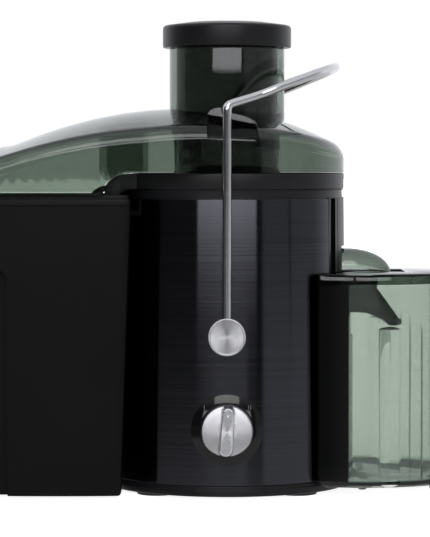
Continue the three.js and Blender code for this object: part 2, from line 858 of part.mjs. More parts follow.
// Lid: a crowned roof over the basket and the bin, with the feed tube, deflector and latch bosses
const ROOF = { crest: 265.5, crestFall: 0.0018, edge: 253, edgeFall: 0.00127, peakX: -30, frontFall: 12.4 };
const CREST_END = -150;
const crestHeight = (x) => ROOF.crest - ROOF.crestFall * (x - ROOF.peakX) ** 2;
function edgeHeight(x) {
  if (x <= 0) return ROOF.edge - ROOF.edgeFall * (x - ROOF.peakX) ** 2;
  return edgeHeight(0) - ROOF.frontFall * (x / LID.radius) ** 2;
}
function roofPlan(inset) {
  const radius = LID.radius - inset;
  const rounding = LID.corner - inset;
  const left = LID.end + LID.corner;
  const side = LID.radius - LID.corner;
  const straight = [0.2, 0.4, 0.6, 0.8].map((t) => [t * left, radius]);
  const quarter = [
    ...arc(0, 0, radius, 0, 90, 10),
    ...straight,
    ...arc(left, side, rounding, 90, 180, 5),
    [LID.end + inset, side * 0.5],
  ];
  const mirrored = quarter
    .slice(1)
    .reverse()
    .map(([x, y]) => [x, -y]);
  return [...quarter, [LID.end + inset, 0], ...mirrored];
}
function roofSolid(inset, bottom) {
  const edge = LID.edge - inset;
  const plan = roofPlan(inset);
  const spine = plan.map(([x]) => Math.min(0, Math.max(CREST_END, x)));
  const roofRing = (distance) =>
    plan.map(([x, y], i) => {
      const reach = Math.hypot(x - spine[i], y);
      const near = Math.min(distance, reach);
      const across = 1 - near / reach;
      const [px, py] = [spine[i] + (x - spine[i]) * across, y * across];
      const crest = crestHeight(spine[i]) - inset;
      const fall = (crest - edgeHeight(x) + inset) * across ** 1.7;
      const inEdge = Math.max(0, edge - near);
      const drop = edge - Math.sqrt(edge * edge - inEdge * inEdge);
      return [px, py, crest - fall - drop];
    });
  const distances = [1e3, 58, 38, 20, edge, edge * 0.4, 0];
  const floor = plan.map(([x, y]) => [x, y, bottom]);
  return stitched([...distances.map(roofRing), floor], null, [-60, 0, bottom]);
}
const SKIRT_BOTTOM = COLLAR.top + GAP;
const underCollar = sideways(
  outline([
    [100, 190],
    [100, SKIRT_BOTTOM],
    [-55, SKIRT_BOTTOM],
    [-70.2, 220.2],
    [-77.4, 217.4],
    [-82, 212.8],
    [-84, 207],
    [-84.6, LID.floor],
    [-250, LID.floor],
    [-250, 190],
  ]),
  -100,
  100,
);
const tubeBore = turned([
  [0, TUBE.bottom - 1],
  [PUSHER.radius + 0.6, TUBE.bottom - 1],
  [PUSHER.radius + 0.6, 256],
  [TUBE.inner, 262],
  [TUBE.inner, 320],
  [0, 320],
]);
const tubeOutside = turned([
  [0, TUBE.bottom],
  [TUBE.radius - 2.9, TUBE.bottom],
  [TUBE.radius - 2.9, 249],
  [TUBE.radius, 258],
  [TUBE.radius, TUBE.top],
  [0, TUBE.top],
]);
const bossShape = outline([
  [-13.5, 244],
  [-13.5, 260],
  [-12, 263.5],
  [-8, 264.6],
  [-2.6, 264.6],
  [-1.2, 261.4],
  [6, 260.8],
  [15, 258],
  [19.5, 255],
  [22.5, 244],
]);
const bosses = [-1, 1].map((side) => {
  const [y0, y1] = [side * 73, side * 83.6].sort((a, b) => a - b);
  return cut(sideways(bossShape, y0, y1), roofSolid(LID.wall - 0.5, 190));
});
// Guide walls beside the pulp mouth, each ending in a rounded tab that hangs lower.
const guideShape = outline([
  [-57, 262],
  [-87, 262],
  [-87, 222],
  [-84.5, 216.5],
  [-80, 215],
  [-76, 216.5],
  [-74.5, 221.5],
  [-57, 221.5],
]);
const guides = [-1, 1].map((side) => {
  const middle = side * (CHUTE.halfWidth + 6.5);
  return sideways(guideShape, middle - 1, middle + 1);
});
const insideRoof = roofSolid(LID.wall - 0.4, 190);
const lidShell = cut(roofSolid(0, 190), roofSolid(LID.wall, 180));
const hanging = guides.map((guide) => guide.intersect(insideRoof));
add(
  "lid",
  MATERIAL.smokyClear,
  cut(
    join(lidShell, ...hanging, ...bosses, tubeOutside),
    tubeBore,
    cut(underCollar, cylinder(60, 200, 230, 0, 0, ROUND)),
  ),
);

// Pusher: plunger and cap
add(
  "pusher_plunger",
  MATERIAL.darkPlastic,
  turned([
    [0, PUSHER.bottom],
    [PUSHER.radius - 1, PUSHER.bottom],
    [PUSHER.radius, PUSHER.bottom + 1],
    [PUSHER.radius, PUSHER.capBottom],
    [PUSHER.radius - PUSHER.wall, PUSHER.capBottom],
    [PUSHER.radius - PUSHER.wall, PUSHER.bottom + 3],
    [0, PUSHER.bottom + 3],
  ]),
);
add(
  "pusher_cap",
  MATERIAL.blackPlastic,
  turned([
    [0, PUSHER.capBottom + 2],
    [PUSHER.radius - PUSHER.wall - 4, PUSHER.capBottom + 2],
    [PUSHER.radius - PUSHER.wall - 4, PUSHER.capBottom - 6],
    [PUSHER.radius - PUSHER.wall - 0.6, PUSHER.capBottom - 6],
    [PUSHER.radius - PUSHER.wall - 0.6, PUSHER.capBottom + GAP],
    [PUSHER.capRadius - 0.8, PUSHER.capBottom + GAP],
    [PUSHER.capRadius, PUSHER.capBottom + 1.2],
    [PUSHER.capRadius, PUSHER.capTop - 6],
    [PUSHER.capRadius - 1.2, PUSHER.capTop - 4],
    [PUSHER.capRadius - 4, PUSHER.capTop - 2.6],
    [PUSHER.capRadius - 18, PUSHER.capTop - 0.7],
    [0, PUSHER.capTop],
  ]),
);

// Pulp bin
function binPlan(inset, z) {
  const shift = BIN.draft * (1 - z / BIN_HEIGHT.top);
  const hug = BIN.hug + inset;
  const tip = BIN.tip - shift - inset;
  const left = BIN.end + BIN.corner;
  const bulge = (x) => BIN.halfWidth - inset - 3 * ((x + 118) / 55) ** 2;
  const straight = [0.2, 0.4, 0.6, 0.8].map((t) => tip + (left - tip) * t);
  const cornerHalf = bulge(left) - (BIN.corner - inset);
  const side = [
    [tip, bulge(tip) - 2],
    [tip - 2, bulge(tip)],
    ...straight.map((x) => [x, bulge(x)]),
    ...arc(left, cornerHalf, BIN.corner - inset, 90, 180, 6),
  ];
  const other = [...side].reverse().map(([x, y]) => [x, -y]);
  const meet = Math.sqrt(hug * hug - (tip + shift) ** 2);
  const hollow = Array.from({ length: 13 }, (_, i) => {
    const angle = Math.PI + Math.asin(meet / hug) * (1 - i / 6);
    return [hug * Math.cos(angle) - shift, hug * Math.sin(angle)];
  });
  return [...side, ...other, ...hollow];
}
const BIN_CENTRE_X = -150;
const gripCut = (extra) =>
  [-1, 1].map((side) => {
    const inner = BIN.halfWidth - GRIP.depth - extra;
    const [y0, y1] = [side * inner, side * 120].sort((a, b) => a - b);
    return box(-260, GRIP.x + extra, y0, y1, -10, GRIP.top + extra);
  });
const binOuter = cut(
  lofted(
    binPlan,
    [
      [BIN_HEIGHT.bottom, 3],
      [BIN_HEIGHT.bottom + 1, 1],
      [BIN_HEIGHT.bottom + 4, 0],
      [BIN_HEIGHT.top, 0],
      [BIN_HEIGHT.top + 0.2, BIN_LIP.inset],
      [BIN_LIP.top, BIN_LIP.inset],
    ],
    BIN_CENTRE_X,
  ),
  ...gripCut(0),
);
const binInner = cut(
  lofted(
    binPlan,
    [
      [BIN_HEIGHT.bottom + BIN.wall, BIN.wall + 3],
      [BIN_HEIGHT.bottom + BIN.wall + 4, BIN.wall],
      [BIN_LIP.top + 2, BIN.wall],
    ],
    BIN_CENTRE_X,
  ),
  ...gripCut(BIN.wall),
);
const binMouth = box(-110, -60, -BIN_MOUTH.halfWidth, BIN_MOUTH.halfWidth, BIN_MOUTH.top, 220);
add("pulp_bin", MATERIAL.blackPlastic, cut(binOuter, binInner, binMouth));

// Jug with its handle, lid and foam separator
function jugHalfWidth(x, inset) {
  if (x < JUG.widestX) {
    return JUG.halfWidth - inset - JUG_WING.narrowing * ((JUG.widestX - x) / JUG_WING.reach) ** 2;
  }
  const across = Math.min(1, (x - JUG.widestX) / (JUG.end - JUG.widestX - inset));
  return JUG.halfWidth - JUG.bow + (JUG.bow - inset) * Math.sqrt(1 - across * across);
}
function jugPlan(inset) {
  const hug = JUG.hug + inset;
  let tip = 60;
  for (let i = 0; i < 20; i++) tip = Math.sqrt(hug * hug - jugHalfWidth(tip, inset) ** 2);
  const near = [0, 0.35, 0.7].map((t) => tip + (JUG.widestX - tip) * t);
  const bowed = Array.from({ length: 10 }, (_, i) => {
    const turn = degrees(10 * i);
    return JUG.widestX + (JUG.end - JUG.widestX - inset) * Math.sin(turn);
  });
  const side = [...near, ...bowed].map((x) => [x, -jugHalfWidth(x, inset)]);
  const other = [...side].reverse().map(([x, y]) => [x, -y]);
  const reach = Math.asin(jugHalfWidth(tip, inset) / hug);
  const hollow = Array.from({ length: 15 }, (_, i) => {
    const angle = reach * (1 - (2 * (i + 1)) / 16);
    return [hug * Math.cos(angle), hug * Math.sin(angle)];
  });
  return [...side, ...other, ...hollow];
}
const JUG_CENTRE_X = 140;
const jugOuter = lofted(
  jugPlan,
  [
    [JUG.under, 4],
    [JUG.under + 1.2, 1.4],
    [JUG.under + 4.5, 0],
    [JUG.top, 0],
  ],
  JUG_CENTRE_X,
);
const jugInner = lofted(
  jugPlan,
  [
    [JUG.under + JUG.wall, JUG.wall + 4],
    [JUG.under + JUG.wall + 4, JUG.wall],
    [JUG.top + 2, JUG.wall],
  ],
  JUG_CENTRE_X,
);
// A shallow round-bottomed channel down each side wall, with a low arch at its top
function flute(side, extra) {
  const radius = FLUTE.radius + extra;
  const shoulder = FLUTE.top - FLUTE.rise;
  const y = side * (jugHalfWidth(FLUTE.x, 0) + FLUTE.radius - FLUTE.depth);
  const dome = [0, 22.5, 45, 67.5].map((rise) => {
    const turn = degrees(rise);
    return [radius * Math.cos(turn), shoulder + (FLUTE.rise + extra) * Math.sin(turn)];
  });
  const profile = [[0, -5], [radius, -5], ...dome, [0, FLUTE.top + extra]];
  return turned(profile, ROUND).translate([FLUTE.x, y, 0]);
}
const jugFeet = JUG_FOOT.places.flatMap(([x, y]) =>
  [-1, 1].map((side) =>
    cylinder(JUG_FOOT.radius, JUG_FOOT.bottom, JUG.under + 1, x, side * y, SMALL_ROUND),
  ),
);
// A thin upright rib inside each side wall
const jugRibs = [-1, 1].map((side) => {
  const y = side * jugHalfWidth(JUG_RIB.x, JUG.wall);
  const [y0, y1] = [y - side * JUG_RIB.depth, y + side].sort((a, b) => a - b);
  const [x0, x1] = [JUG_RIB.x - JUG_RIB.width / 2, JUG_RIB.x + JUG_RIB.width / 2];
  return box(x0, x1, y0, y1, JUG.under + 1, JUG_RIB.top);
});
const handleOuter = [
  [155, HANDLE.top],
  ...arc(HANDLE.reach - 22, HANDLE.top - 22, 22, 90, 0, 6),
  [HANDLE.reach - 3, 70],
  [HANDLE.reach - 12, HANDLE.bottom + 6],
  [155, HANDLE.bottom],
];
const handleInner = [
  [150, HANDLE.top - HANDLE.thickness],
  ...arc(HANDLE.reach - 24, HANDLE.top - 24, 12, 90, 0, 5),
  [HANDLE.reach - 15, 70],
  [HANDLE.reach - 23, HANDLE.bottom + 16],
  [150, HANDLE.bottom + 13],
];
const handle = cut(
  sideways(outline(handleOuter), -HANDLE.halfWidth, HANDLE.halfWidth),
  sideways(outline(handleInner), -40, 40),
);
const beakNotch = box(70, 100, -SPOUT.halfWidth - 2.5, SPOUT.halfWidth + 2.5, 106, 160);
// The wings beside the drum are solid.
const wings = box(40, JUG_WING.solidTo, -90, 90, 0, 200);
const jugHollow = cut(jugInner, wings, ...[-1, 1].map((side) => flute(side, JUG.wall)));
const jugBody = cut(join(jugOuter, handle, ...jugFeet), ...[-1, 1].map((side) => flute(side, 0)), jugHollow);
add("jug", MATERIAL.smokyClear, cut(join(jugBody, ...jugRibs), beakNotch));

const jugLidPlate = lofted(
  jugPlan,
  [
    [JUG_LID.bottom, 0.2],
    [JUG_LID.top - 1, 0.2],
    [JUG_LID.top, 1.2],
  ],
  JUG_CENTRE_X,
);
const jugLidHollow = lofted(
  jugPlan,
  [
    [JUG_LID.bottom - 1, 3],
    [JUG_LID.top - 2.2, 3],
  ],
  JUG_CENTRE_X,
);
const spoutCut = box(60, JUG_LID.cutX, -JUG_LID.cutHalfWidth, JUG_LID.cutHalfWidth, 130, 160);
add("jug_lid", MATERIAL.smokyClear, cut(jugLidPlate, jugLidHollow, spoutCut));

// The foam separator hangs from the jug's rim as a cross wall with a slot along the floor.
const SEPARATOR_X = 146;
const SEPARATOR_HALF = 40.5;
add(
  "foam_separator",
  MATERIAL.smokyClear,
  box(SEPARATOR_X, SEPARATOR_X + 2, -SEPARATOR_HALF, SEPARATOR_HALF, 22, 143),
);

export default part;
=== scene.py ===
import json
import math

import bmesh
import bpy
import numpy as np
from mathutils import Matrix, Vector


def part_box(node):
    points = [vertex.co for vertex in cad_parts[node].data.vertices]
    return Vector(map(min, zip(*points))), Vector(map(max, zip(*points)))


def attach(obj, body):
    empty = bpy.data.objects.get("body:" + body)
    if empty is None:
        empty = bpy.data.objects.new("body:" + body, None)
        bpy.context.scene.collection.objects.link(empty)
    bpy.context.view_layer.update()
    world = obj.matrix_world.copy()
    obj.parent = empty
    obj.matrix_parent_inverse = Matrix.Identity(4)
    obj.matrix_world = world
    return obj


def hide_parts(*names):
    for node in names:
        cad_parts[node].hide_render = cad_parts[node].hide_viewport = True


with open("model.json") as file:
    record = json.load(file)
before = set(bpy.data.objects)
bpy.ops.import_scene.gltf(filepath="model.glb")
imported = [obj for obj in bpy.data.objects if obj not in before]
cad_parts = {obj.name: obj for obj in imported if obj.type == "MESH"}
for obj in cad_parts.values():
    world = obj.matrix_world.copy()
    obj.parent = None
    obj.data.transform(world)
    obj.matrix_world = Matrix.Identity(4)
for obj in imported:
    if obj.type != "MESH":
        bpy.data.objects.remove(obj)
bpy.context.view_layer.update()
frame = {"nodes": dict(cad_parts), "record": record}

# Shapes are worked out in millimetres in the CAD frame: +Z up, -Y the control side, +X the jug.
# Their meshes hold metres, as the CAD frame does.
MM = 0.001
SCENE = bpy.context.scene
BIG = 160  # facets of the big round pieces
SMALL = 64  # facets of the small ones
PIVOT_Z = 110.6
KNOB_Z = 47.6
KNOB_TURN = 4  # the dial's bar stands a little past its mark
DIAL_BELOW = 0.075  # metres; turned metal under this height belongs to the dial, above it to the arm
# In front of BAR_FOOT the dial's bar has its colour raised 1.5 times: a painted highlight.
BAR_FOOT = -0.0955  # metres; in front of this the dial's turned metal is its bar
BAR_PROUD = -0.096
DIMPLE_ASIDE = 0.8
DIMPLE_UP = 11.2


def span(node):
    """Lowest and highest corner of a CAD node, in millimetres."""
    low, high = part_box(node)
    return np.array(low) / MM, np.array(high) / MM


# ---------------------------------------------------------------- shapes
def unit(vector):
    return vector / np.linalg.norm(vector)


def rounded(corners, steps=5):
    """A closed polyline from (a, b) corners; a third number rounds that corner to a radius."""
    points = []
    for i, corner in enumerate(corners):
        here = np.array(corner[:2], float)
        if len(corner) < 3:
            points.append(here)
            continue
        radius = corner[2]
        to_before = unit(np.array(corners[i - 1][:2]) - here)
        to_after = unit(np.array(corners[(i + 1) % len(corners)][:2]) - here)
        half = math.acos(float(np.clip(to_before @ to_after, -1, 1))) / 2
        centre = here + unit(to_before + to_after) * radius / math.sin(half)
        start = here + to_before * radius / math.tan(half) - centre
        end = here + to_after * radius / math.tan(half) - centre
        turn = math.pi - 2 * half
        for t in np.linspace(0, 1, steps + 1):
            along = start * math.sin((1 - t) * turn) + end * math.sin(t * turn)
            points.append(centre + along / math.sin(turn))
    return np.array(points)


def arc(x, y, radius_x, radius_y, first, last, steps):
    """Points of an elliptical arc between two angles in degrees."""
    angles = np.radians(np.linspace(first, last, steps + 1))
    return np.column_stack([x + radius_x * np.cos(angles), y + radius_y * np.sin(angles)])


def cleaned(name, points, faces):
    """An object with its doubles merged and its faces turned out."""
    mesh = bpy.data.meshes.new(name)
    mesh.from_pydata((np.array(points) * MM).tolist(), [], faces)
    work = bmesh.new()
    work.from_mesh(mesh)
    bmesh.ops.remove_doubles(work, verts=work.verts, dist=1e-6)
    bmesh.ops.dissolve_degenerate(work, edges=work.edges, dist=1e-7)
    bmesh.ops.recalc_face_normals(work, faces=work.faces)
    work.to_mesh(mesh)
    work.free()
    made = bpy.data.objects.new(name, mesh)
    SCENE.collection.objects.link(made)
    return made


def at_height(plan, z):
    """A level ring from (x, y) points."""
    return np.column_stack([plan, np.full(len(plan), z)])


def at_depth(outline, y):
    """An upright ring from (x, z) points."""
    return np.column_stack([outline[:, 0], np.full(len(outline), y), outline[:, 1]])


def skin(name, rings, looped=False, first_cap=True, last_cap=True):
    """A surface through rings of equally many points, looped round or capped at its ends."""
    count = len(rings[0])
    levels = len(rings)
    faces = []
    for level in range(levels if looped else levels - 1):
        below = level * count
        above = (level + 1) % levels * count
        for i in range(count):
            j = (i + 1) % count
            faces.append((below + i, below + j, above + j, above + i))
    if not looped and first_cap:
        faces.append(tuple(range(count))[::-1])
    if not looped and last_cap:
        faces.append(tuple(range((levels - 1) * count, levels * count)))
    return cleaned(name, np.concatenate(rings), faces)


def lathe(name, corners, facets=BIG, sweep=(0, 360), centre=(0, 0)):
    """A closed profile of (radius, height) corners turned about an upright axis."""
    profile = rounded(corners)
    full = sweep[1] - sweep[0] >= 360
    angles = np.radians(np.linspace(*sweep, facets + 1))
    rings = [
        np.column_stack([
            centre[0] + profile[:, 0] * math.cos(angle),
            centre[1] + profile[:, 0] * math.sin(angle),
            profile[:, 1],
        ])
        for angle in (angles[:-1] if full else angles)
    ]
    return skin(name, rings, looped=full)


def cross_lathe(name, corners, height, facets=SMALL):
    """A closed profile of (radius, depth) corners turned about a level axis along Y."""
    profile = rounded(corners)
    rings = [
        np.column_stack([
            profile[:, 0] * math.cos(angle),
            profile[:, 1],
            height + profile[:, 0] * math.sin(angle),
        ])
        for angle in np.radians(np.linspace(0, 360, facets + 1))[:-1]
    ]
    return skin(name, rings, looped=True)


def slab(name, outline, y0, y1):
    """An outline drawn in X and Z, pushed along Y."""
    points = np.array(outline)
    return skin(name, [
        at_depth(points, y) for y in (y0, y1)
    ])


def plate(name, outline, z0, z1):
    """An outline drawn in X and Y, raised along Z."""
    points = np.array(outline)
    return skin(name, [
        at_height(points, z) for z in (z0, z1)
    ])


def block(x0, x1, y0, y1, z0, z1, radius=0):
    """A box whose upright edges may be rounded."""
    corners = [(x0, y0), (x1, y0), (x1, y1), (x0, y1)]
    if radius:
        corners = [(*corner, radius) for corner in corners]
    return plate("block", rounded(corners), z0, z1)


def post(radius, z0, z1, x=0, y=0, facets=SMALL):
    return plate("post", arc(x, y, radius, radius, 0, 360, facets)[:-1], z0, z1)


def cross_post(radius, y0, y1, z, x=0, facets=SMALL):
    return slab("post", arc(x, z, radius, radius, 0, 360, facets)[:-1], y0, y1)


def settled(body):
    """The object with its modifiers turned into mesh."""
    graph = bpy.context.evaluated_depsgraph_get()
    mesh = bpy.data.meshes.new_from_object(body.evaluated_get(graph))
    body.modifiers.clear()
    body.data = mesh
    return body


def combined(operation, body, tools):
    for tool in tools:
        step = body.modifiers.new("step", "BOOLEAN")
        step.operation = operation
        step.solver = "MANIFOLD"
        step.object = tool
        settled(body)
        bpy.data.objects.remove(tool)
    return body


def cut(body, *tools):
    return combined("DIFFERENCE", body, tools)


def join(body, *tools):
    return combined("UNION", body, tools)


def common(body, *tools):
    return combined("INTERSECT", body, tools)


def duplicate(body):
    made = bpy.data.objects.new(body.name, body.data.copy())
    SCENE.collection.objects.link(made)
    return made


def bevelled(body, width, segments=3, angle=40):
    step = body.modifiers.new("edge", "BEVEL")
    step.width = width * MM
    step.segments = segments
    step.limit_method = "ANGLE"
    step.angle_limit = math.radians(angle)
    return settled(body)


def piece(made, name, body, slot, *nodes, sharp=32):
    """Names a finished shape, gives it its material and its CAD body, and says what it stands for."""
    made.name = name
    made.data.name = name
    made.data.shade_smooth()
    made.data.set_sharp_from_angle(angle=math.radians(sharp))
    made.data.materials.clear()
    made.data.materials.append(MATERIAL[slot])
    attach(made, body)
    if nodes:
        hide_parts(*nodes)
    return made


# ---------------------------------------------------------------- materials
def put(tree, socket, value):
    """Links a socket to another one, or sets it to a plain value."""
    if isinstance(value, bpy.types.NodeSocket):
        tree.links.new(value, socket)
    else:
        socket.default_value = value


def shader_node(tree, kind, inputs=None, **settings):
    made = tree.nodes.new("ShaderNode" + kind)
    for key, value in settings.items():
        setattr(made, key, value)
    for key, value in (inputs or {}).items():
        put(tree, made.inputs[key], value)
    return made


class Paint:
    """A Principled material under way, with short calls for its nodes."""

    def __init__(self, name):
        self.material = bpy.data.materials.new(name)
        self.material.use_nodes = True
        self.tree = self.material.node_tree
        self.shader = self.tree.nodes["Principled BSDF"]
        self.place = self.node("TexCoord").outputs["Object"]

    def node(self, kind, inputs=None, **settings):
        return shader_node(self.tree, kind, inputs, **settings)

    def compute(self, operation, *values):
        return self.node("Math", dict(enumerate(values)), operation=operation).outputs[0]

    def set(self, **values):
        for key, value in values.items():
            put(self.tree, self.shader.inputs[key.replace("_", " ")], value)

    def noise(self, scale, detail=2.0, stretch=(1, 1, 1)):
        """Noise from 0 to 1 whose grain is 1 / scale metres, squeezed along each axis."""
        mapped = self.node("Mapping", {"Vector": self.place, "Scale": stretch})
        made = self.node("TexNoise", {
            "Vector": mapped.outputs["Vector"], "Scale": scale, "Detail": detail, "Roughness": 0.55,
        })
        return made.outputs["Fac"]

    def spread(self, value, low, high):
        """A 0 to 1 value stretched over a range."""
        made = self.node("MapRange", {"Value": value, "From Min": 0.25, "From Max": 0.75,
                                      "To Min": low, "To Max": high})
        return made.outputs["Result"]

    def tint(self, value, dark, light):
        made = self.node("Mix", {"Factor": value, 6: (*dark, 1), 7: (*light, 1)}, data_type="RGBA")
        return made.outputs[2]

    def bump(self, height, distance, strength=1.0, under=None):
        inputs = {"Height": height, "Distance": distance, "Strength": strength}
        if under is not None:
            inputs["Normal"] = under
        return self.node("Bump", inputs).outputs["Normal"]


def shade(colour, factor):
    return tuple(min(1.0, c * factor) for c in colour)


def moulded(name, colour, roughness, grain=900.0, depth=0.00004, variation=0.12, specular=0.5):
    """Moulded plastic: a fine spark-eroded grain over a slow drift in tone and gloss."""
    paint = Paint(name)
    slow = paint.noise(14.0)
    fine = paint.noise(grain, 3.0)
    paint.set(
        Base_Color=paint.tint(slow, shade(colour, 1 - variation), shade(colour, 1 + variation)),
        Roughness=paint.spread(slow, roughness * 0.9, roughness * 1.1),
        Normal=paint.bump(fine, depth, 0.6),
        Specular_IOR_Level=specular,
    )
    return paint.material


def brushed(name, colour, roughness, stretch, anisotropic=0.6, depth=0.00002, turn=0.25, variation=0.15):
    """Metal with fine parallel brush lines; stretch squeezes the lines across the brushing."""
    paint = Paint(name)
    lines = paint.noise(1.0, 3.0, stretch)
    slow = paint.noise(11.0)
    paint.set(
        Base_Color=paint.tint(lines, shade(colour, 1 - variation), shade(colour, 1 + variation)),
        Metallic=1.0,
        Roughness=paint.spread(lines, roughness * 0.85, roughness * 1.15),
        Anisotropic=anisotropic,
        Anisotropic_Rotation=turn,
        Tangent=paint.node("Tangent", direction_type="RADIAL", axis="Z").outputs["Tangent"],
        Normal=paint.bump(lines, depth, 0.5, paint.bump(slow, 0.0002, 0.08)),
    )
    return paint.material


def turned_metal(name, colour, roughness):
    """Satin metal faced on a lathe, its brush lines running round an axis along Y, with a painted highlight
    in the dial bar's colour.
    """
    paint = Paint(name)
    place = paint.node("SeparateXYZ", {"Vector": paint.place})

    def on_the_bar(factor):
        """A factor for the dial's bar, and 1 for everything behind it; it paints a highlight into the bar's
        colour and lowers the bar's roughness.
        """
        return paint.node("MapRange", {
            "Value": place.outputs["Y"], "From Min": BAR_FOOT, "From Max": BAR_PROUD,
            "To Min": 1.0, "To Max": factor,
        }).outputs[0]

    above = paint.compute("GREATER_THAN", place.outputs["Z"], DIAL_BELOW)
    centre = paint.node("MapRange", {
        "Value": above, "To Min": KNOB_Z * MM, "To Max": PIVOT_Z * MM,
    })
    level = paint.compute("SUBTRACT", place.outputs["Z"], centre.outputs[0])
    outward = paint.node("CombineXYZ", {"X": place.outputs["X"], "Y": 0.0, "Z": level})
    around = paint.node("VectorMath", {0: outward.outputs[0], 1: (0, 1, 0)}, operation="CROSS_PRODUCT")
    reach = paint.node("VectorMath", {0: outward.outputs[0]}, operation="LENGTH")
    rings = paint.node("TexNoise", {"W": reach.outputs["Value"], "Scale": 2600.0, "Detail": 3.0},
                       noise_dimensions="1D")
    mottled = paint.spread(paint.noise(170.0, 3.0), 0.78, 1.15)
    cloud = paint.node("Mix", {"Factor": above, 2: 1.0, 3: mottled})
    fine = paint.tint(rings.outputs["Fac"], shade(colour, 0.88), shade(colour, 1.08))
    # The bar's colour is 1.5 times that of the same metal behind it: a painted highlight.
    tone = paint.compute("MULTIPLY", cloud.outputs[0], on_the_bar(1.5))
    toned_with_bar_highlight = paint.node("VectorMath", {0: fine, "Scale": tone}, operation="SCALE")
    satin = paint.spread(rings.outputs["Fac"], roughness * 0.85, roughness * 1.15)
    sheen = paint.compute("MULTIPLY", on_the_bar(0.85), satin)
    paint.set(
        Base_Color=toned_with_bar_highlight.outputs["Vector"],
        Metallic=1.0,
        Roughness=sheen,
        Anisotropic=0.7,
        Anisotropic_Rotation=0.0,
        Tangent=around.outputs["Vector"],
        Normal=paint.bump(rings.outputs["Fac"], 0.00002, 0.5),
    )
    return paint.material


def polished(name, colour, roughness):
    """Drawn bright metal with faint scratches."""
    paint = Paint(name)
    lines = paint.noise(1.0, 4.0, (1400, 1400, 60))
    paint.set(
        Base_Color=paint.tint(lines, shade(colour, 0.93), shade(colour, 1.04)),
        Metallic=1.0,
        Roughness=paint.spread(lines, roughness * 0.7, roughness * 1.3),
        Normal=paint.bump(lines, 0.00001, 0.3),
    )
    return paint.material


def smoky(name, colour, density, roughness, specular=0.5):
    """Smoke-tinted clear plastic that darkens with its thickness."""
    paint = Paint(name)
    ripple = paint.noise(30.0, 1.0)
    paint.set(
        Base_Color=(1, 1, 1, 1),
        Transmission_Weight=1.0,
        IOR=1.49,
        Specular_IOR_Level=specular,
        Roughness=roughness,
        Normal=paint.bump(ripple, 0.00005, 0.25),
    )
    haze = paint.node("VolumeAbsorption", {"Color": (*colour, 1), "Density": density})
    output = paint.tree.nodes["Material Output"]
    put(paint.tree, output.inputs["Volume"], haze.outputs["Volume"])
    return paint.material


def wound(name, colour):
    """Enamelled copper wire, wound in close turns, with painted shade darkening the grooves between the
    turns.
    """
    paint = Paint(name)
    wire = paint.node("TexWave", {"Vector": paint.place, "Scale": 420.0, "Distortion": 1.5,
                                  "Detail": 2.0, "Detail Scale": 2.0}, bands_direction="DIAGONAL")
    paint.set(
        # The colour falls to 0.45 of the copper in the grooves between turns: painted shade.
        Base_Color=paint.tint(wire.outputs["Fac"], shade(colour, 0.45), colour),
        Metallic=0.9,
        Roughness=0.32,
        Normal=paint.bump(wire.outputs["Fac"], 0.0003, 0.8),
        Coat_Weight=0.4,
    )
    return paint.material


def stacked(name, colour):
    """Laminated electrical steel: thin sheets stacked along Z."""
    paint = Paint(name)
    sheets = paint.node("TexWave", {"Vector": paint.place, "Scale": 320.0}, bands_direction="Z")
    rust = paint.noise(60.0, 4.0)
    paint.set(
        Base_Color=paint.tint(rust, shade(colour, 0.7), shade(colour, 1.2)),
        Metallic=0.85,
        Roughness=paint.spread(rust, 0.38, 0.55),
        Normal=paint.bump(sheets.outputs["Fac"], 0.0002, 0.7),
    )
    return paint.material


def sieve(name, colour):
    """Etched sieve steel: rows of fine holes round the basket's wall, drawn as near-black spots in the
    colour, which is painted shade for the dark seen through them.
    """
    paint = Paint(name)
    parts = paint.node("SeparateXYZ", {"Vector": paint.place})
    angle = paint.compute("ARCTAN2", parts.outputs["Y"], parts.outputs["X"])
    along = paint.compute("MULTIPLY", angle, 22.9)
    across = paint.compute("MULTIPLY", parts.outputs["Z"], 560.0)
    grid = paint.node("CombineXYZ", {"X": along, "Y": across})
    cells = paint.node("TexVoronoi", {"Vector": grid.outputs[0], "Scale": 1.0, "Randomness": 0.0},
                       voronoi_dimensions="2D")
    hole = paint.node("MapRange", {"Value": cells.outputs["Distance"], "From Min": 0.26, "From Max": 0.34})
    paint.set(
        # Near-black inside each hole: painted shade in place of a real opening.
        Base_Color=paint.tint(hole.outputs["Result"], (0.01, 0.01, 0.01), colour),
        Metallic=1.0,
        Roughness=0.3,
        Normal=paint.bump(hole.outputs["Result"], 0.0003, 0.8),
    )
    return paint.material


def inked(name, colour):
    """Pad-printed ink, slightly uneven."""
    paint = Paint(name)
    grain = paint.noise(2500.0, 2.0)
    paint.set(
        Base_Color=paint.tint(grain, shade(colour, 0.8), colour),
        Roughness=0.6,
        Normal=paint.bump(grain, 0.00001, 0.4),
    )
    return paint.material


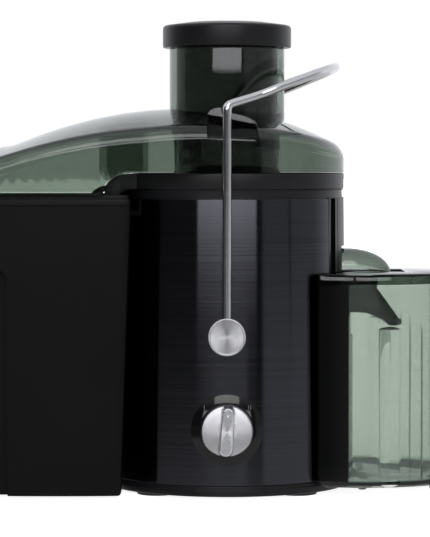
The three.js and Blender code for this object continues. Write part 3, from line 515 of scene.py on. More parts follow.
MATERIAL = {
    "black_plastic": moulded(
        "satin_black_plastic", (0.0042, 0.0042, 0.005), 0.34, 1100.0, 0.00003, 0.12, 0.28,
    ),
    "bin_plastic": moulded("bin_black_plastic", (0.0016, 0.0016, 0.0017), 0.4, 1500.0, 0.00005, 0.1, 0.12),
    "plunger_plastic": moulded(
        "plunger_black_plastic", (0.0006, 0.0006, 0.0007), 0.28, 900.0, 0.00002, 0.1, 0.12,
    ),
    "gloss_black": moulded("gloss_black_plastic", (0.002, 0.002, 0.0024), 0.07, 300.0, 0.000004, 0.1, 0.4),
    "dark_metal": brushed(
        "brushed_dark_metal", (0.058, 0.059, 0.067), 0.15, (3, 3, 900), 0.93, 0.00002, variation=0.32,
    ),
    "smoky_lid": smoky("smoky_lid_plastic", (0.10, 0.21, 0.115), 500.0, 0.02),
    "smoky_jug": smoky("smoky_jug_plastic", (0.20, 0.30, 0.213), 450.0, 0.02, 0.2),
    "polished_steel": polished("polished_steel", (0.62, 0.62, 0.63), 0.14),
    "satin_chrome": turned_metal("satin_chrome", (0.62, 0.62, 0.635), 0.34),
    "sieve_steel": sieve("sieve_steel", (0.55, 0.55, 0.56)),
    "machine_steel": polished("machine_steel", (0.5, 0.5, 0.51), 0.25),
    "lamination": stacked("laminated_steel", (0.16, 0.165, 0.17)),
    "copper": wound("wound_copper", (0.62, 0.22, 0.08)),
    "brass": brushed("brass", (0.6, 0.42, 0.16), 0.3, (700, 90, 700), 0.3),
    "carbon": moulded("carbon", (0.03, 0.03, 0.03), 0.6, 2200.0, 0.00008),
    "rubber": moulded("rubber", (0.011, 0.011, 0.011), 0.75, 700.0, 0.00012, 0.2, 0.35),
    "switch_plastic": moulded("switch_plastic", (0.02, 0.02, 0.022), 0.4),
    "bush_plastic": moulded("acetal_plastic", (0.6, 0.58, 0.53), 0.45, 800.0, 0.00003, 0.05),
}
INK = inked("print_ink", (0.11, 0.113, 0.122))

# ---------------------------------------------------------------- dimensions shared by several pieces
PLATE_LOW, PLATE_HIGH = span("base_plate")
WRAP_LOW, WRAP_HIGH = span("wrap_panel")
BODY_LOW, BODY_HIGH = span("housing_shell")
LID_LOW, LID_HIGH = span("lid")
BIN_LOW, BIN_HIGH = span("pulp_bin")
JUG_LOW, JUG_HIGH = span("jug")
CAP_HIGH = span("pusher_cap")[1]

DECK_WINDOW_START = 69
LINE_ANGLE = 21.1  # two lines down the strip between the wrap's ends
LINE_HALF_WIDTH = 0.35
BACKING_ANGLE = 27  # the drum is thicker behind the strip's grooves
BACKING_HALF_WIDTH = 7
GAP = 0.3
DRUM_BOTTOM_RADIUS = 82.9
DRUM_TOP_RADIUS = 80.9
DRUM_WALL = 2.4
DRAFT = (DRUM_BOTTOM_RADIUS - DRUM_TOP_RADIUS) / (BODY_HIGH[2] - BODY_LOW[2])
WRAP_CLEAR = 0.3
WRAP_THICKNESS = 0.8
WRAP_HALF_OPENING = 32
POST_HALF_ANGLE = 31.6
COLLAR_RADIUS = 82
COLLAR_INNER = 75.8
GLAND_Z = 26
SCREW_ANGLES = (20, 110, 200, 290)
SCREW_REACH = 72.5


def drum_radius(z):
    return DRUM_BOTTOM_RADIUS - DRAFT * (z - BODY_LOW[2])


def skin_radius(z):
    return drum_radius(z) + WRAP_CLEAR + WRAP_THICKNESS


def polar(radius, angle):
    return radius * math.cos(math.radians(angle)), radius * math.sin(math.radians(angle))


# ---------------------------------------------------------------- base and drum
def base_plate():
    bottom, spigot_top = PLATE_LOW[2], PLATE_HIGH[2]
    radius = PLATE_HIGH[0]
    top, floor, spigot = 9, 5.5, 80.1
    made = lathe("base", [
        (0, bottom + 1.4), (radius - 2.6, bottom + 1.4, 0.3), (radius - 2.2, bottom, 0.3),
        (radius, bottom, 1.2), (radius - 0.2, top - 2.2, 0.3), (radius - 0.9, top - 1.9, 0.3),
        (radius - 0.9, top, 0.4), (spigot, top), (spigot, spigot_top, 0.5),
        (spigot - 1.6, spigot_top, 0.5), (spigot - 1.6, floor), (0, floor),
    ])
    pockets = []
    for i in range(4):
        low, high = span(f"foot_{i + 1}")
        x, y = (low + high)[:2] / 2
        pockets.append(post((high - low)[0] / 2 + GAP, bottom - 1, high[2] + GAP, x, y))
    holes = []
    for angle in SCREW_ANGLES:
        x, y = polar(SCREW_REACH, angle)
        holes.append(post(1.9, bottom - 1, floor + 1, x, y, 24))
        holes.append(post(3.6, bottom - 1, bottom + 2.2, x, y, 24))
    vents = []
    for row in range(-4, 5):
        half = 30 - abs(row) * 2
        vents.append(block(-half, half, row * 6 - 1.2, row * 6 + 1.2, bottom - 1, floor + 1, 1.19))
    made = cut(made, *pockets, *holes, *vents)
    return piece(made, "base_ring", "base", "black_plastic", "base_plate")


def feet():
    for i in range(4):
        name = f"foot_{i + 1}"
        low, high = span(name)
        x, y = (low + high)[:2] / 2
        radius = (high - low)[0] / 2
        pad = lathe("pad", [
            (0, low[2] + 0.4), (radius - 5, low[2] + 0.4, 0.3), (radius - 4.4, low[2], 0.3),
            (radius, low[2], 1.2), (radius, high[2]), (0, high[2]),
        ], SMALL, centre=(x, y))
        piece(pad, f"rubber_{name}", "base", "rubber", name)


def screws():
    for i, angle in enumerate(SCREW_ANGLES):
        name = f"base_screw_{i + 1}"
        low, high = span(name)
        x, y = polar(SCREW_REACH, angle)
        made = lathe("screw", [
            (0, low[2]), (3.2, low[2], 0.6), (3.2, low[2] + 1.8), (1.6, low[2] + 1.8, 0.2),
            (1.6, high[2] - 1.2), (0.4, high[2]), (0, high[2]),
        ], 32, centre=(x, y))
        cross = [
            block(x - a, x + a, y - b, y + b, low[2] - 1, low[2] + 1.1) for a, b in ((1.9, 0.4), (0.4, 1.9))
        ]
        made = cut(made, *cross)
        piece(made, f"screw_{i + 1}", "base", "machine_steel", name)


def housing():
    bottom, top = BODY_LOW[2], BODY_HIGH[2]
    band = WRAP_HIGH[2] + GAP
    deck_low, deck_high, deck_hole = 130, 133, 9
    made = lathe("drum", [
        (drum_radius(bottom), bottom), (drum_radius(band), band),
        (drum_radius(band) - 0.3, top - 0.6, 0.3), (skin_radius(top), top - 0.6, 0.2),
        (skin_radius(top), top, 0.2),
        (drum_radius(top) - DRUM_WALL, top), (drum_radius(deck_high) - DRUM_WALL, deck_high),
        (deck_hole, deck_high), (deck_hole, deck_low),
        (drum_radius(deck_low) - DRUM_WALL, deck_low), (drum_radius(bottom) - DRUM_WALL, bottom),
    ])
    strip = lathe("strip", [
        (drum_radius(bottom) - 1, bottom), (skin_radius(bottom), bottom, 0.6),
        (skin_radius(band), band + 0.5), (drum_radius(band) - 1, band + 0.5),
    ], 48, sweep=(-POST_HALF_ANGLE, POST_HALF_ANGLE))
    lines = [
        lathe("line", [(82.6, bottom - 1), (90, bottom - 1), (90, band), (80.9, band)], 4,
              sweep=(side * LINE_ANGLE - LINE_HALF_WIDTH, side * LINE_ANGLE + LINE_HALF_WIDTH))
        for side in (-1, 1)
    ]
    grooves = []
    backings = []
    for side in (-1, 1):
        corners = [(71.3, 60), (75.5, 60), (75.5, 35.5), (73.6, 31.5), (71.3, 35.5)]
        grooves.append(plate("groove", [(x, side * y) for x, y in corners], 17, band))
        backings.append(lathe("backing", [
            (78.2, 16.5), (drum_radius(bottom) - 1.5, 16.5), (drum_radius(band) - 0.5, band), (78.2, band),
        ], 12, sweep=(side * BACKING_ANGLE - BACKING_HALF_WIDTH, side * BACKING_ANGLE + BACKING_HALF_WIDTH)))
    strip = cut(strip, *lines)
    posts = [post(6, 115, deck_low + 1, x, y, 32) for x, y in ((-44, -12), (44, -12), (44, 12), (-44, 12))]
    for angle in SCREW_ANGLES:
        x, y = polar(SCREW_REACH, angle)
        posts.append(post(4.5, 5.8, 34, x, y, 32))
        corners = [polar(80.5, angle + a) for a in (-1.2, 1.2)] + [polar(74, angle + a) for a in (1.3, -1.3)]
        posts.append(plate("rib", corners, 18, 33.5))
    bores = [post(1.9, 4.5, 22, *polar(SCREW_REACH, angle), 24) for angle in SCREW_ANGLES]
    window = block(DECK_WINDOW_START, 100, -20, 20, 118, 169.6)
    made = cut(
        join(made, strip, *backings, *posts), *grooves, window,
        cross_post(8.3, -100, 100, PIVOT_Z), cross_post(6, -100, -60, KNOB_Z),
        cross_post(6.3, 60, 100, GLAND_Z), *bores,
    )
    return piece(made, "drum_housing", "base", "black_plastic", "housing_shell")


def wrap_panel():
    bottom, top = WRAP_LOW[2], WRAP_HIGH[2]
    inside = WRAP_CLEAR
    made = lathe("wrap", [
        (drum_radius(bottom) + inside, bottom, 0.25), (skin_radius(bottom), bottom, 0.3),
        (skin_radius(top), top, 0.3), (drum_radius(top) + inside, top, 0.25),
    ], 264, sweep=(WRAP_HALF_OPENING, 360 - WRAP_HALF_OPENING))
    made = cut(
        made, cross_post(5, -100, 100, PIVOT_Z), cross_post(6, -100, -60, KNOB_Z),
        cross_post(8, 60, 100, GLAND_Z),
    )
    return piece(made, "metal_wrap", "base", "dark_metal", "wrap_panel")


# ---------------------------------------------------------------- collector and spout
def collector():
    low, high = span("juice_collector")
    base = low[2]
    collar_bottom = BODY_HIGH[2] + GAP
    top = high[2]
    bowl, wall = 77.6, 2
    made = lathe("bowl", [
        (15, base), (bowl - 6, base, 2), (bowl, base + 6, 2), (bowl, collar_bottom),
        (COLLAR_RADIUS, collar_bottom, 0.5), (COLLAR_RADIUS, top, 1.1), (COLLAR_INNER, top, 0.4),
        (bowl - wall, collar_bottom - 2, 1), (bowl - wall, base + 7, 2), (bowl - 7, base + 2, 2),
        (17, base + 2, 1), (17, 157, 0.5), (15, 157, 0.5),
    ])
    half, cheek = 50, 4
    floor = slab("floor", rounded([
        (-74, 209.5), (-84, 209.5, 4), (-90, 206.4, 5), (-91.5, 198), (-93.5, 198, 0.6),
        (-93.2, 207.6, 6), (-86, 211.7, 4), (-74, 211.7),
    ]), -half - 1, half + 1)
    tail = cut(block(-76, -50, -half - 1, half + 1, 209.5, 211.7), post(COLLAR_INNER, 200, 215, facets=BIG))
    cheek_shape = rounded([
        (-55, 209.5), (-66.5, 209.5, 3), (-72.6, 207.2, 5), (-74.5, 198, 0.8), (-84.5, 198, 0.8),
        (-83.2, 213.5, 9), (-74, 219.6, 10), (-55, 220.5),
    ], 8)
    cheeks = []
    for side in (-1, 1):
        ends = sorted((side * half, side * (half + cheek)))
        cheeks.append(bevelled(slab("cheek", cheek_shape, *ends), 0.7, 3, 60))
    mouth = block(-90, -40, -half, half, 211.7, 222)
    outlet = block(60, 90, -14, 14, base + 2.5, base + 24)
    made = cut(join(cut(made, mouth), floor, tail, *cheeks), outlet)
    return piece(made, "collector_with_collar", "base", "black_plastic", "juice_collector")


def spout_rings(inset, wall, lower):
    """Outlines of the spout across Y: a domed hood over a beak with rounded front edges."""
    low, high = span("juice_spout")
    start, half = low[0], high[1] - inset
    base, rise, reach = 150.7, high[2] - 150.7 - inset, 31 - inset
    rings = []
    for turn in np.radians(np.linspace(-90, 90, 33)):
        y = half * math.sin(turn)
        bulge = math.sqrt(max(0.0, 1 - abs(math.sin(turn)) ** 3))
        near_side = max(0.0, abs(y) - (half - 5))
        pull = 5 - math.sqrt(max(0.0, 25 - near_side**2))
        hood = arc(84, base, reach * bulge + 0.01, rise * bulge + 0.01, 90, 0, 22)
        front = np.array(lower, float)
        front[:, 0] -= np.where(front[:, 0] > start + 20, pull, 0)
        back = [(start - wall, lower[-1][1]), (start - wall, hood[0][1])]
        outline = np.concatenate([back, hood, front[:-1]])
        rings.append(at_depth(outline, y))
    return rings


def spout():
    """A domed hood over a beak, open towards the bowl and at the beak's end."""
    outer = skin("spout", spout_rings(0, 0, [
        (108.5, 149.6), (106.6, 148), (105.4, 145), (104.9, 140.2), (121.9, 116.6), (121.3, 115),
        (119.4, 114), (117.6, 114.6), (112.6, 118.2), (106, 121.2), (97, 122.8), (79, 123.4),
    ]))
    hollow = skin("hollow", spout_rings(2, 1, [
        (106, 149.6), (104.4, 148), (103, 145), (102.2, 140.4), (119.6, 115.6), (119.4, 112), (119.2, 108),
        (116.4, 108), (112.4, 120.8), (106, 124), (97, 125.6), (79, 126.2),
    ]))
    lining = block(78, 130, -9.5, 9.5, 100, 141)
    keep = block(78, 130, -20, 20, 141, 170)
    low_part = common(duplicate(hollow), lining)
    high_part = common(hollow, keep)
    made = cut(outer, low_part, high_part)
    return piece(made, "spout_hood", "base", "smoky_lid", "juice_spout", sharp=40)


# ---------------------------------------------------------------- lid
ROOF_CREST = 265.5
ROOF_EDGE = 253
ROOF_PEAK_X = -30
CREST_END = -150
LID_RADIUS = 82
LID_CORNER = 26
LID_WALL = 2.4
ROOF_DIP = 1.7  # how much lower the roof's edge runs over the bin
LID_EDGE = 8
TUBE_RADIUS = 40.3
TUBE_INNER = 38
PLUNGER_RADIUS = 35.4


def crest_height(x):
    return ROOF_CREST - 0.0018 * (x - ROOF_PEAK_X) ** 2


def edge_height(x):
    fall = 0.00127 * (np.minimum(x, 0) - ROOF_PEAK_X) ** 2
    dip = ROOF_DIP * np.clip((-20 - x) / 35, 0, 1)
    return ROOF_EDGE - 1.5 - fall - dip - 12.4 * (np.maximum(x, 0) / LID_RADIUS) ** 2


def roof_plan(inset):
    radius = LID_RADIUS - inset
    end = LID_LOW[0]
    left, side = end + LID_CORNER, LID_RADIUS - LID_CORNER
    quarter = np.concatenate([
        arc(0, 0, radius, radius, 0, 90, 36),
        [(x, radius) for x in np.linspace(0, left, 20)[1:-1]],
        arc(left, side, LID_CORNER - inset, LID_CORNER - inset, 90, 180, 16),
        [(end + inset, y) for y in np.linspace(side, 0, 9)[1:]],
    ])
    mirrored = quarter[1:-1][::-1] * (1, -1)
    return np.concatenate([quarter, mirrored])


def roof(inset, bottom):
    """The crowned roof as a solid down to a height, inset all over."""
    edge = LID_EDGE - inset
    plan = roof_plan(inset)
    spine = np.clip(plan[:, 0], CREST_END, 0)
    reach = np.hypot(plan[:, 0] - spine, plan[:, 1])
    turns = np.radians(np.linspace(0, 90, 9))
    distances = [1e3, 76, 70, 64, 58, 52, 46, 40, 34, 28, 22, 17, 12, 9.5, *(edge * (1 - np.sin(turns)))]
    rings = []
    for distance in distances:
        near = np.minimum(distance, reach)
        across = 1 - near / reach
        x = spine + (plan[:, 0] - spine) * across
        y = plan[:, 1] * across
        crest = crest_height(spine) - inset
        fall = (crest - edge_height(plan[:, 0]) + inset) * across**1.7
        in_edge = np.maximum(0, edge - near)
        drop = edge - np.sqrt(np.maximum(0, edge**2 - in_edge**2))
        rings.append(np.column_stack([x, y, crest - fall - drop]))
    rings.append(at_height(plan, bottom))
    return skin("roof", rings, first_cap=False)


def lid():
    skirt = BODY_HIGH[2] + 11.6
    floor = LID_LOW[2]
    under_collar = slab("under", [
        (100, 190), (100, skirt), (-55, skirt), (-70.2, 220.2), (-74.2, 219.1), (-77.4, 217.4),
        (-80.1, 215.2), (-82, 212.8), (-83.3, 210), (-84, 207), (-84.6, floor), (-250, floor), (-250, 190),
    ], -100, 100)
    bore = lathe("bore", [
        (0, 211), (PLUNGER_RADIUS + 0.6, 211), (PLUNGER_RADIUS + 0.6, 256, 6), (TUBE_INNER, 262, 6),
        (TUBE_INNER, 320), (0, 320),
    ])
    top = LID_HIGH[2]
    tube = lathe("tube", [
        (0, 212), (TUBE_RADIUS - 2.9, 212, 0.8), (TUBE_RADIUS - 2.9, 249, 3), (TUBE_RADIUS, 258, 3),
        (TUBE_RADIUS, top, 0.9), (0, top),
    ])
    boss_shape = rounded([
        (-13.5, 244), (-13.5, 260, 3), (-9.5, 264.6, 3), (-2.6, 264.6, 1), (-1.2, 261.4, 1.4),
        (6, 260.8, 8), (15, 258, 8), (19.5, 255, 4), (22.5, 244),
    ])
    bosses = []
    for side in (-1, 1):
        ends = sorted((side * 73, side * 83.6))
        boss = bevelled(slab("boss", boss_shape, *ends), 0.6, 3, 60)
        bosses.append(cut(boss, roof(LID_WALL - 0.5, 190)))
    guide_shape = rounded([
        (-57, 262), (-87, 262), (-87, 222, 3), (-84.5, 216.2, 3), (-80, 215, 2.5), (-76, 216.4, 3),
        (-74.5, 221.5, 1.5), (-57, 221.5),
    ])
    inside = roof(LID_WALL - 0.4, 190)
    made = cut(roof(0, 190), roof(LID_WALL, 180))
    guides = []
    for side in (-1, 1):
        middle = side * 56.5
        guide = slab("guide", guide_shape, middle - 1, middle + 1)
        guides.append(common(guide, duplicate(inside)))
    bpy.data.objects.remove(inside)
    made = join(made, *guides, *bosses, tube)
    made = cut(made, bore, cut(under_collar, post(60, 200, 230, facets=BIG)))
    return piece(made, "clear_lid", "lid", "smoky_lid", "lid", sharp=34)


def pusher():
    low, high = span("pusher_plunger")
    radius, wall = PLUNGER_RADIUS, 2
    plunger = lathe("plunger", [
        (0, low[2]), (radius, low[2], 1.6), (radius, high[2]), (radius - wall, high[2]),
        (radius - wall, low[2] + 3, 2), (0, low[2] + 3),
    ])
    piece(plunger, "plunger", "pusher", "plunger_plastic", "pusher_plunger")
    bottom = high[2]
    top, outer = CAP_HIGH[2], CAP_HIGH[0]
    spigot = radius - wall - 0.6
    cap = lathe("cap", [
        (0, bottom + 2), (spigot - 3.4, bottom + 2), (spigot - 3.4, bottom - 6), (spigot, bottom - 6, 0.5),
        (spigot, bottom + GAP), (outer, bottom + GAP, 1.1), (outer, top - 3.2, 2.6),
        (outer - 18, top - 0.7, 30), (0, top),
    ])
    piece(cap, "pusher_cap_top", "pusher", "black_plastic", "pusher_cap")


# ---------------------------------------------------------------- pulp bin
BIN_CORNER = 26
BIN_HUG = 88
BIN_LIP = 203
BIN_TOP = 205.6
BIN_FOOT = 2  # rounding of the bottom edge
BIN_TIP = -65
BIN_DRAFT = 7
BIN_WALL = 2.2
GRIP_X = -148.5
GRIP_DEPTH = 11
GRIP_TOP = 155


def bin_plan(inset, z):
    end, width, top = BIN_LOW[0], BIN_HIGH[1], 203
    shift = BIN_DRAFT * (1 - z / top)
    hug = BIN_HUG + inset
    tip = BIN_TIP - shift - inset
    left = end + BIN_CORNER

    def bulge(x):
        return width - inset - 3 * ((x + 118) / 55) ** 2

    corner = BIN_CORNER - inset
    side = np.concatenate([
        [(tip, bulge(tip) - 1.6), (tip - 0.5, bulge(tip) - 0.5), (tip - 1.6, bulge(tip))],
        [(x, bulge(x)) for x in np.linspace(tip, left, 24)[1:-1]],
        arc(left, bulge(left) - corner, corner, corner, 90, 180, 14),
    ])
    other = side[::-1] * (1, -1)
    meet = math.sqrt(hug**2 - (tip + shift) ** 2)
    half = math.degrees(math.asin(meet / hug))
    hollow = arc(-shift, 0, hug, hug, 180 + half, 180 - half, 48)
    return np.concatenate([side, other, hollow])


def bin_loft(levels):
    rings = []
    for z, inset in levels:
        plan = bin_plan(inset, z)
        rings.append(at_height(plan, z))
    return skin("bin", rings)


def grip_cut(extra, radius):
    """The two finger recesses at the bin's far corners."""
    made = []
    for side in (-1, 1):
        inner = BIN_HIGH[1] - GRIP_DEPTH - extra
        ends = sorted((side * inner, side * 120))
        shape = rounded([
            (-260, -10), (GRIP_X + extra, -10), (GRIP_X + extra, GRIP_TOP + extra, radius + extra),
            (-260, GRIP_TOP + extra),
        ], 8)
        made.append(slab("grip", shape, *ends))
    return made


def pulp_bin():
    bottom, lip, top = BIN_LOW[2], BIN_LIP, BIN_TOP
    fillet = [
        (bottom + BIN_FOOT * (1 - math.cos(a)), BIN_FOOT * (1 - math.sin(a)))
        for a in np.radians((0, 18, 36, 54, 72, 90))
    ]
    outer = bin_loft([*fillet, (lip - 5.2, 0), (lip - 5, 0.35), (lip - 4.4, 0.35), (lip - 4.2, 0),
                      (lip - 0.6, 0), (lip - 0.15, 0.2), (lip, 0.6), (lip + 0.05, 1.25), (top - 0.2, 1.25),
                      (top, 1.4)])
    inner = bin_loft([(bottom + BIN_WALL, BIN_WALL + 3), (bottom + BIN_WALL + 1, BIN_WALL + 1),
                      (bottom + BIN_WALL + 4, BIN_WALL), (top + 2, BIN_WALL)])
    mouth = block(-110, -60, -57, 57, 193, 220)
    made = cut(cut(outer, *grip_cut(0, 7)), cut(inner, *grip_cut(BIN_WALL, 7)), mouth)
    return piece(made, "black_pulp_bin", "bin", "bin_plastic", "pulp_bin", sharp=38)


# ---------------------------------------------------------------- jug
JUG_END = 160
JUG_HALF = 66.5
JUG_WIDEST_X = 92
JUG_BOW = 50
JUG_HUG = 86.6
JUG_WALL = 2.2
JUG_UNDER = 5.4
JUG_TOP = 144.1
JUG_RECESS = 2.6
JUG_FLOOR = 4.2
WING_NARROWS = 6  # how much narrower each side is at its wing's tip
WING_LENGTH = 31
WING_POWER = 1.3
WING_SOLID_TO = 83
FLUTE_X = 113.5
FLUTE_RADIUS = 14
FLUTE_DEPTH = 2
FLUTE_TOP = 116
FLUTE_RISE = 2.5
RIB_X = 133
RIB_DEPTH = 2.6
RIB_TOP = 121


def jug_half_width(x, inset):
    if x < JUG_WIDEST_X:
        return JUG_HALF - inset - WING_NARROWS * ((JUG_WIDEST_X - x) / WING_LENGTH) ** WING_POWER
    across = min(1, (x - JUG_WIDEST_X) / (JUG_END - JUG_WIDEST_X - inset))
    return JUG_HALF - JUG_BOW + (JUG_BOW - inset) * math.sqrt(1 - across**2)


def jug_plan(inset):
    hug = JUG_HUG + inset
    tip = 60
    for _ in range(20):
        tip = math.sqrt(hug**2 - jug_half_width(tip, inset) ** 2)
    bow = JUG_WIDEST_X + (JUG_END - JUG_WIDEST_X - inset) * np.sin(np.radians(np.linspace(0, 90, 31)))
    near = np.linspace(tip + 1.4, JUG_WIDEST_X, 9)[:-1]
    side = [(tip + 0.5, 0.9 - jug_half_width(tip, inset))]
    side += [(x, -jug_half_width(x, inset)) for x in (*near, *bow)]
    side = np.array(side)
    other = side[::-1] * (1, -1)
    half = math.degrees(math.asin((jug_half_width(tip, inset) - 0.3) / hug))
    hollow = arc(0, 0, hug, hug, half, -half, 44)
    return np.concatenate([side, other, hollow])


def jug_loft(name, levels):
    rings = []
    for z, inset in levels:
        plan = jug_plan(inset)
        rings.append(at_height(plan, z))
    return skin(name, rings)


def flute(side, extra):
    """A shallow round-bottomed channel down one side wall, with a low arch at its top."""
    centre = side * (jug_half_width(FLUTE_X, 0) + FLUTE_RADIUS - FLUTE_DEPTH)
    radius = FLUTE_RADIUS + extra
    shoulder, rise = FLUTE_TOP - FLUTE_RISE, FLUTE_RISE + extra
    turns = np.radians(np.linspace(0, 90, 12))
    dome = [(radius * math.cos(a), shoulder + rise * math.sin(a)) for a in turns]
    profile = [(0, -5), (radius, -5), *dome[:-1], (0, shoulder + rise)]
    return lathe("flute", profile, 128, centre=(FLUTE_X, centre))


def rib(side):
    """A thin upright rib inside one side wall, tapered at its top."""
    wall = jug_half_width(RIB_X, JUG_WALL)
    shape = [
        (wall + 1, JUG_UNDER + 3), (wall - RIB_DEPTH, JUG_UNDER + 3), (wall - RIB_DEPTH, RIB_TOP - 14),
        (wall + 1, RIB_TOP),
    ]
    return skin("rib", [
        np.array([(x, side * y, z) for y, z in shape]) for x in (RIB_X - 0.6, RIB_X + 0.6)
    ])


def jug():
    under, top = JUG_UNDER, JUG_TOP
    outer = jug_loft("jug", [
        (under, 4.4), (under + 0.25, 3.2), (under + 1.1, 1.7), (under + 2.4, 0.6), (under + 4, 0.1),
        (under + 5, 0), (top, 0),
    ])
    hollow = jug_loft("hollow", [
        (under + JUG_FLOOR, JUG_WALL + 3.5), (under + 4.5, JUG_WALL + 1.6), (under + 5.6, JUG_WALL + 0.3),
        (under + 7, JUG_WALL), (top + 2, JUG_WALL),
    ])
    solid_wings = block(40, WING_SOLID_TO, -90, 90, 0, 200)
    hollow = cut(hollow, solid_wings, *[flute(side, JUG_WALL) for side in (-1, 1)])
    recess = jug_loft("recess", [
        (-5, JUG_WALL + 0.8), (under + 2.2, JUG_WALL + 0.8), (under + JUG_RECESS, JUG_WALL + 1.4),
    ])
    notch = turned_notch(slab("notch", rounded([
        (-20.5, 106, 6), (20.5, 106, 6), (20.5, 160), (-20.5, 160),
    ]), 70, 100))
    feet = [
        lathe("foot", [(0, JUG_LOW[2]), (3, JUG_LOW[2], 0.8), (3, under + 4), (0, under + 4)], 32,
              centre=(x, side * y))
        for x, y in ((94, 30), (144, 22)) for side in (-1, 1)
    ]
    made = cut(outer, *[flute(side, 0) for side in (-1, 1)])
    made = cut(join(cut(made, recess), jug_handle(), *feet), hollow)
    made = cut(join(made, *[rib(side) for side in (-1, 1)]), notch)
    return piece(made, "clear_jug", "jug", "smoky_jug", "jug", sharp=34)


def turned_notch(notch):
    """Turns a slab that was drawn across Y so that it runs along X."""
    for vertex in notch.data.vertices:
        x, y, z = vertex.co
        vertex.co = (y, x, z)
    work = bmesh.new()
    work.from_mesh(notch.data)
    bmesh.ops.recalc_face_normals(work, faces=work.faces)
    work.to_mesh(notch.data)
    work.free()
    return notch


def jug_handle():
    reach = JUG_HIGH[0]
    path = rounded([(156, 121.5), (reach - 4.3, 121.5, 16), (reach - 12, 44, 18), (156, 38)], 10)
    centres = [(x, z) for x, z in path if x >= 155]
    rings = []
    section = rounded([(-9, -5.5, 4), (9, -5.5, 4), (9, 5.5, 4), (-9, 5.5, 4)])
    for i, (x, z) in enumerate(centres):
        ahead = np.array(centres[min(i + 1, len(centres) - 1)])
        behind = np.array(centres[max(i - 1, 0)])
        along = unit(ahead - behind)
        normal = np.array([along[1], -along[0]])
        rings.append(np.column_stack([
            x + section[:, 1] * normal[0], section[:, 0], z + section[:, 1] * normal[1],
        ]))
    return skin("handle", rings)


def jug_lid():
    low, high = span("jug_lid")
    bottom, top = low[2], high[2]
    made = jug_loft("cover", [
        (bottom, 0.5), (bottom + 0.3, 0.2), (top - 0.9, 0.2), (top - 0.25, 0.5), (top, 1.2),
    ])
    hollow = jug_loft("hollow", [(bottom - 1, 8), (top - 2.6, 8), (top - 2.2, 8.4)])
    opening = block(60, 124, -23, 23, 130, 160)
    ticks = []
    for side in (-1, 1):
        for x in (86.5, 126):
            y = side * jug_half_width(x, 0)
            ticks.append(block(x - 0.6, x + 0.6, y - 0.7, y + 0.7, bottom - 1, top - 1))
    made = cut(made, hollow, opening, *ticks)
    return piece(made, "clear_jug_lid", "jug_lid", "smoky_jug", "jug_lid", sharp=34)


def separator():
    low, high = span("foam_separator")
    made = bevelled(block(low[0], high[0], low[1], high[1], low[2], high[2]), 0.4, 2)
    return piece(made, "foam_wall", "jug", "smoky_jug", "foam_separator")


# ---------------------------------------------------------------- locking arm
def locking_arm():
    high = span("locking_arm")[1]
    radius, y = 3.0, 89
    start_x, tip_x = 4, high[0] - radius - 0.3
    bend, tip = 266, high[2] - radius
    power = 2 / 2.6

    def loop_point(turn):
        angle = math.radians(turn)
        reach = math.cos(angle) ** power
        spread = math.copysign(abs(math.sin(angle)) ** power, turn)
        return start_x + (tip_x - start_x) * reach, 80.5 * spread, bend + (tip - bend) * reach

    corner = np.array([0.0, y, bend])
    onward = unit(np.array([*loop_point(82)]) - corner)
    knee = [
        corner + (0, 0, -4) * np.array((1 - t) ** 2) + onward * 4 * t**2 for t in np.linspace(0, 1, 6)
    ]
    leg = [np.array([0, y, z]) for z in (PIVOT_Z + 5.5, 150, 190, 230, 256)] + knee
    arch = [np.array(loop_point(turn)) for turn in (-80, -72, -62, -50, -36, -18, 0, 18, 36, 50, 62, 72, 80)]
    route = [point * (1, -1, 1) for point in leg] + arch + leg[::-1]
    curve = bpy.data.curves.new("rod", "CURVE")
    curve.dimensions = "3D"
    curve.bevel_depth = radius * MM
    curve.bevel_resolution = 8
    curve.resolution_u = 14
    curve.use_fill_caps = True
    spline = curve.splines.new("BEZIER")
    spline.bezier_points.add(len(route) - 1)
    for point, place in zip(spline.bezier_points, route):
        point.co = [c * MM for c in place]
        point.handle_left_type = point.handle_right_type = "AUTO"
    rod = bpy.data.objects.new("rod", curve)
    SCENE.collection.objects.link(rod)
    graph = bpy.context.evaluated_depsgraph_get()
    mesh = bpy.data.meshes.new_from_object(rod.evaluated_get(graph))
    bpy.data.objects.remove(rod)
    made = bpy.data.objects.new("rod", mesh)
    SCENE.collection.objects.link(made)
    return piece(made, "steel_arm", "arm", "polished_steel", "locking_arm", sharp=50)


def hubs():
    for name, side in (("front", -1), ("rear", 1)):
        low, high = span(f"arm_hub_{name}")
        face = side * max(abs(low[1]), abs(high[1]))
        back = side * 85
        radius = high[0]
        made = cross_lathe("hub", [
            (0, side * 72), (4, side * 72, 0.5), (4, back), (radius, back, 0.5), (radius, face, 0.5),
            (radius - 1.1, face, 0.35), (radius - 1.4, face - side * 0.7, 0.2), (0, face - side * 0.35),
        ], PIVOT_Z, 96)
        made = cut(made, post(3.3, PIVOT_Z + 5, PIVOT_Z + 20, 0, side * 89, 32))
        piece(made, f"pivot_disc_{name}", "arm", "satin_chrome", f"arm_hub_{name}")


# ---------------------------------------------------------------- dial
def bezel():
    radius = span("dial_bezel")[1][0]
    made = cross_lathe("bezel", [
        (6, -70), (radius, -70), (radius, -85.02, 0.5), (18.3, -87, 0.3), (17.6, -86.4, 0.3), (6, -86.4),
    ], KNOB_Z, 128)
    drum = lathe("tool", [(0, 0), (skin_radius(0) + 0.05, 0), (skin_radius(200) + 0.05, 200), (0, 200)])
    return piece(cut(made, drum), "gloss_bezel", "base", "gloss_black", "dial_bezel")


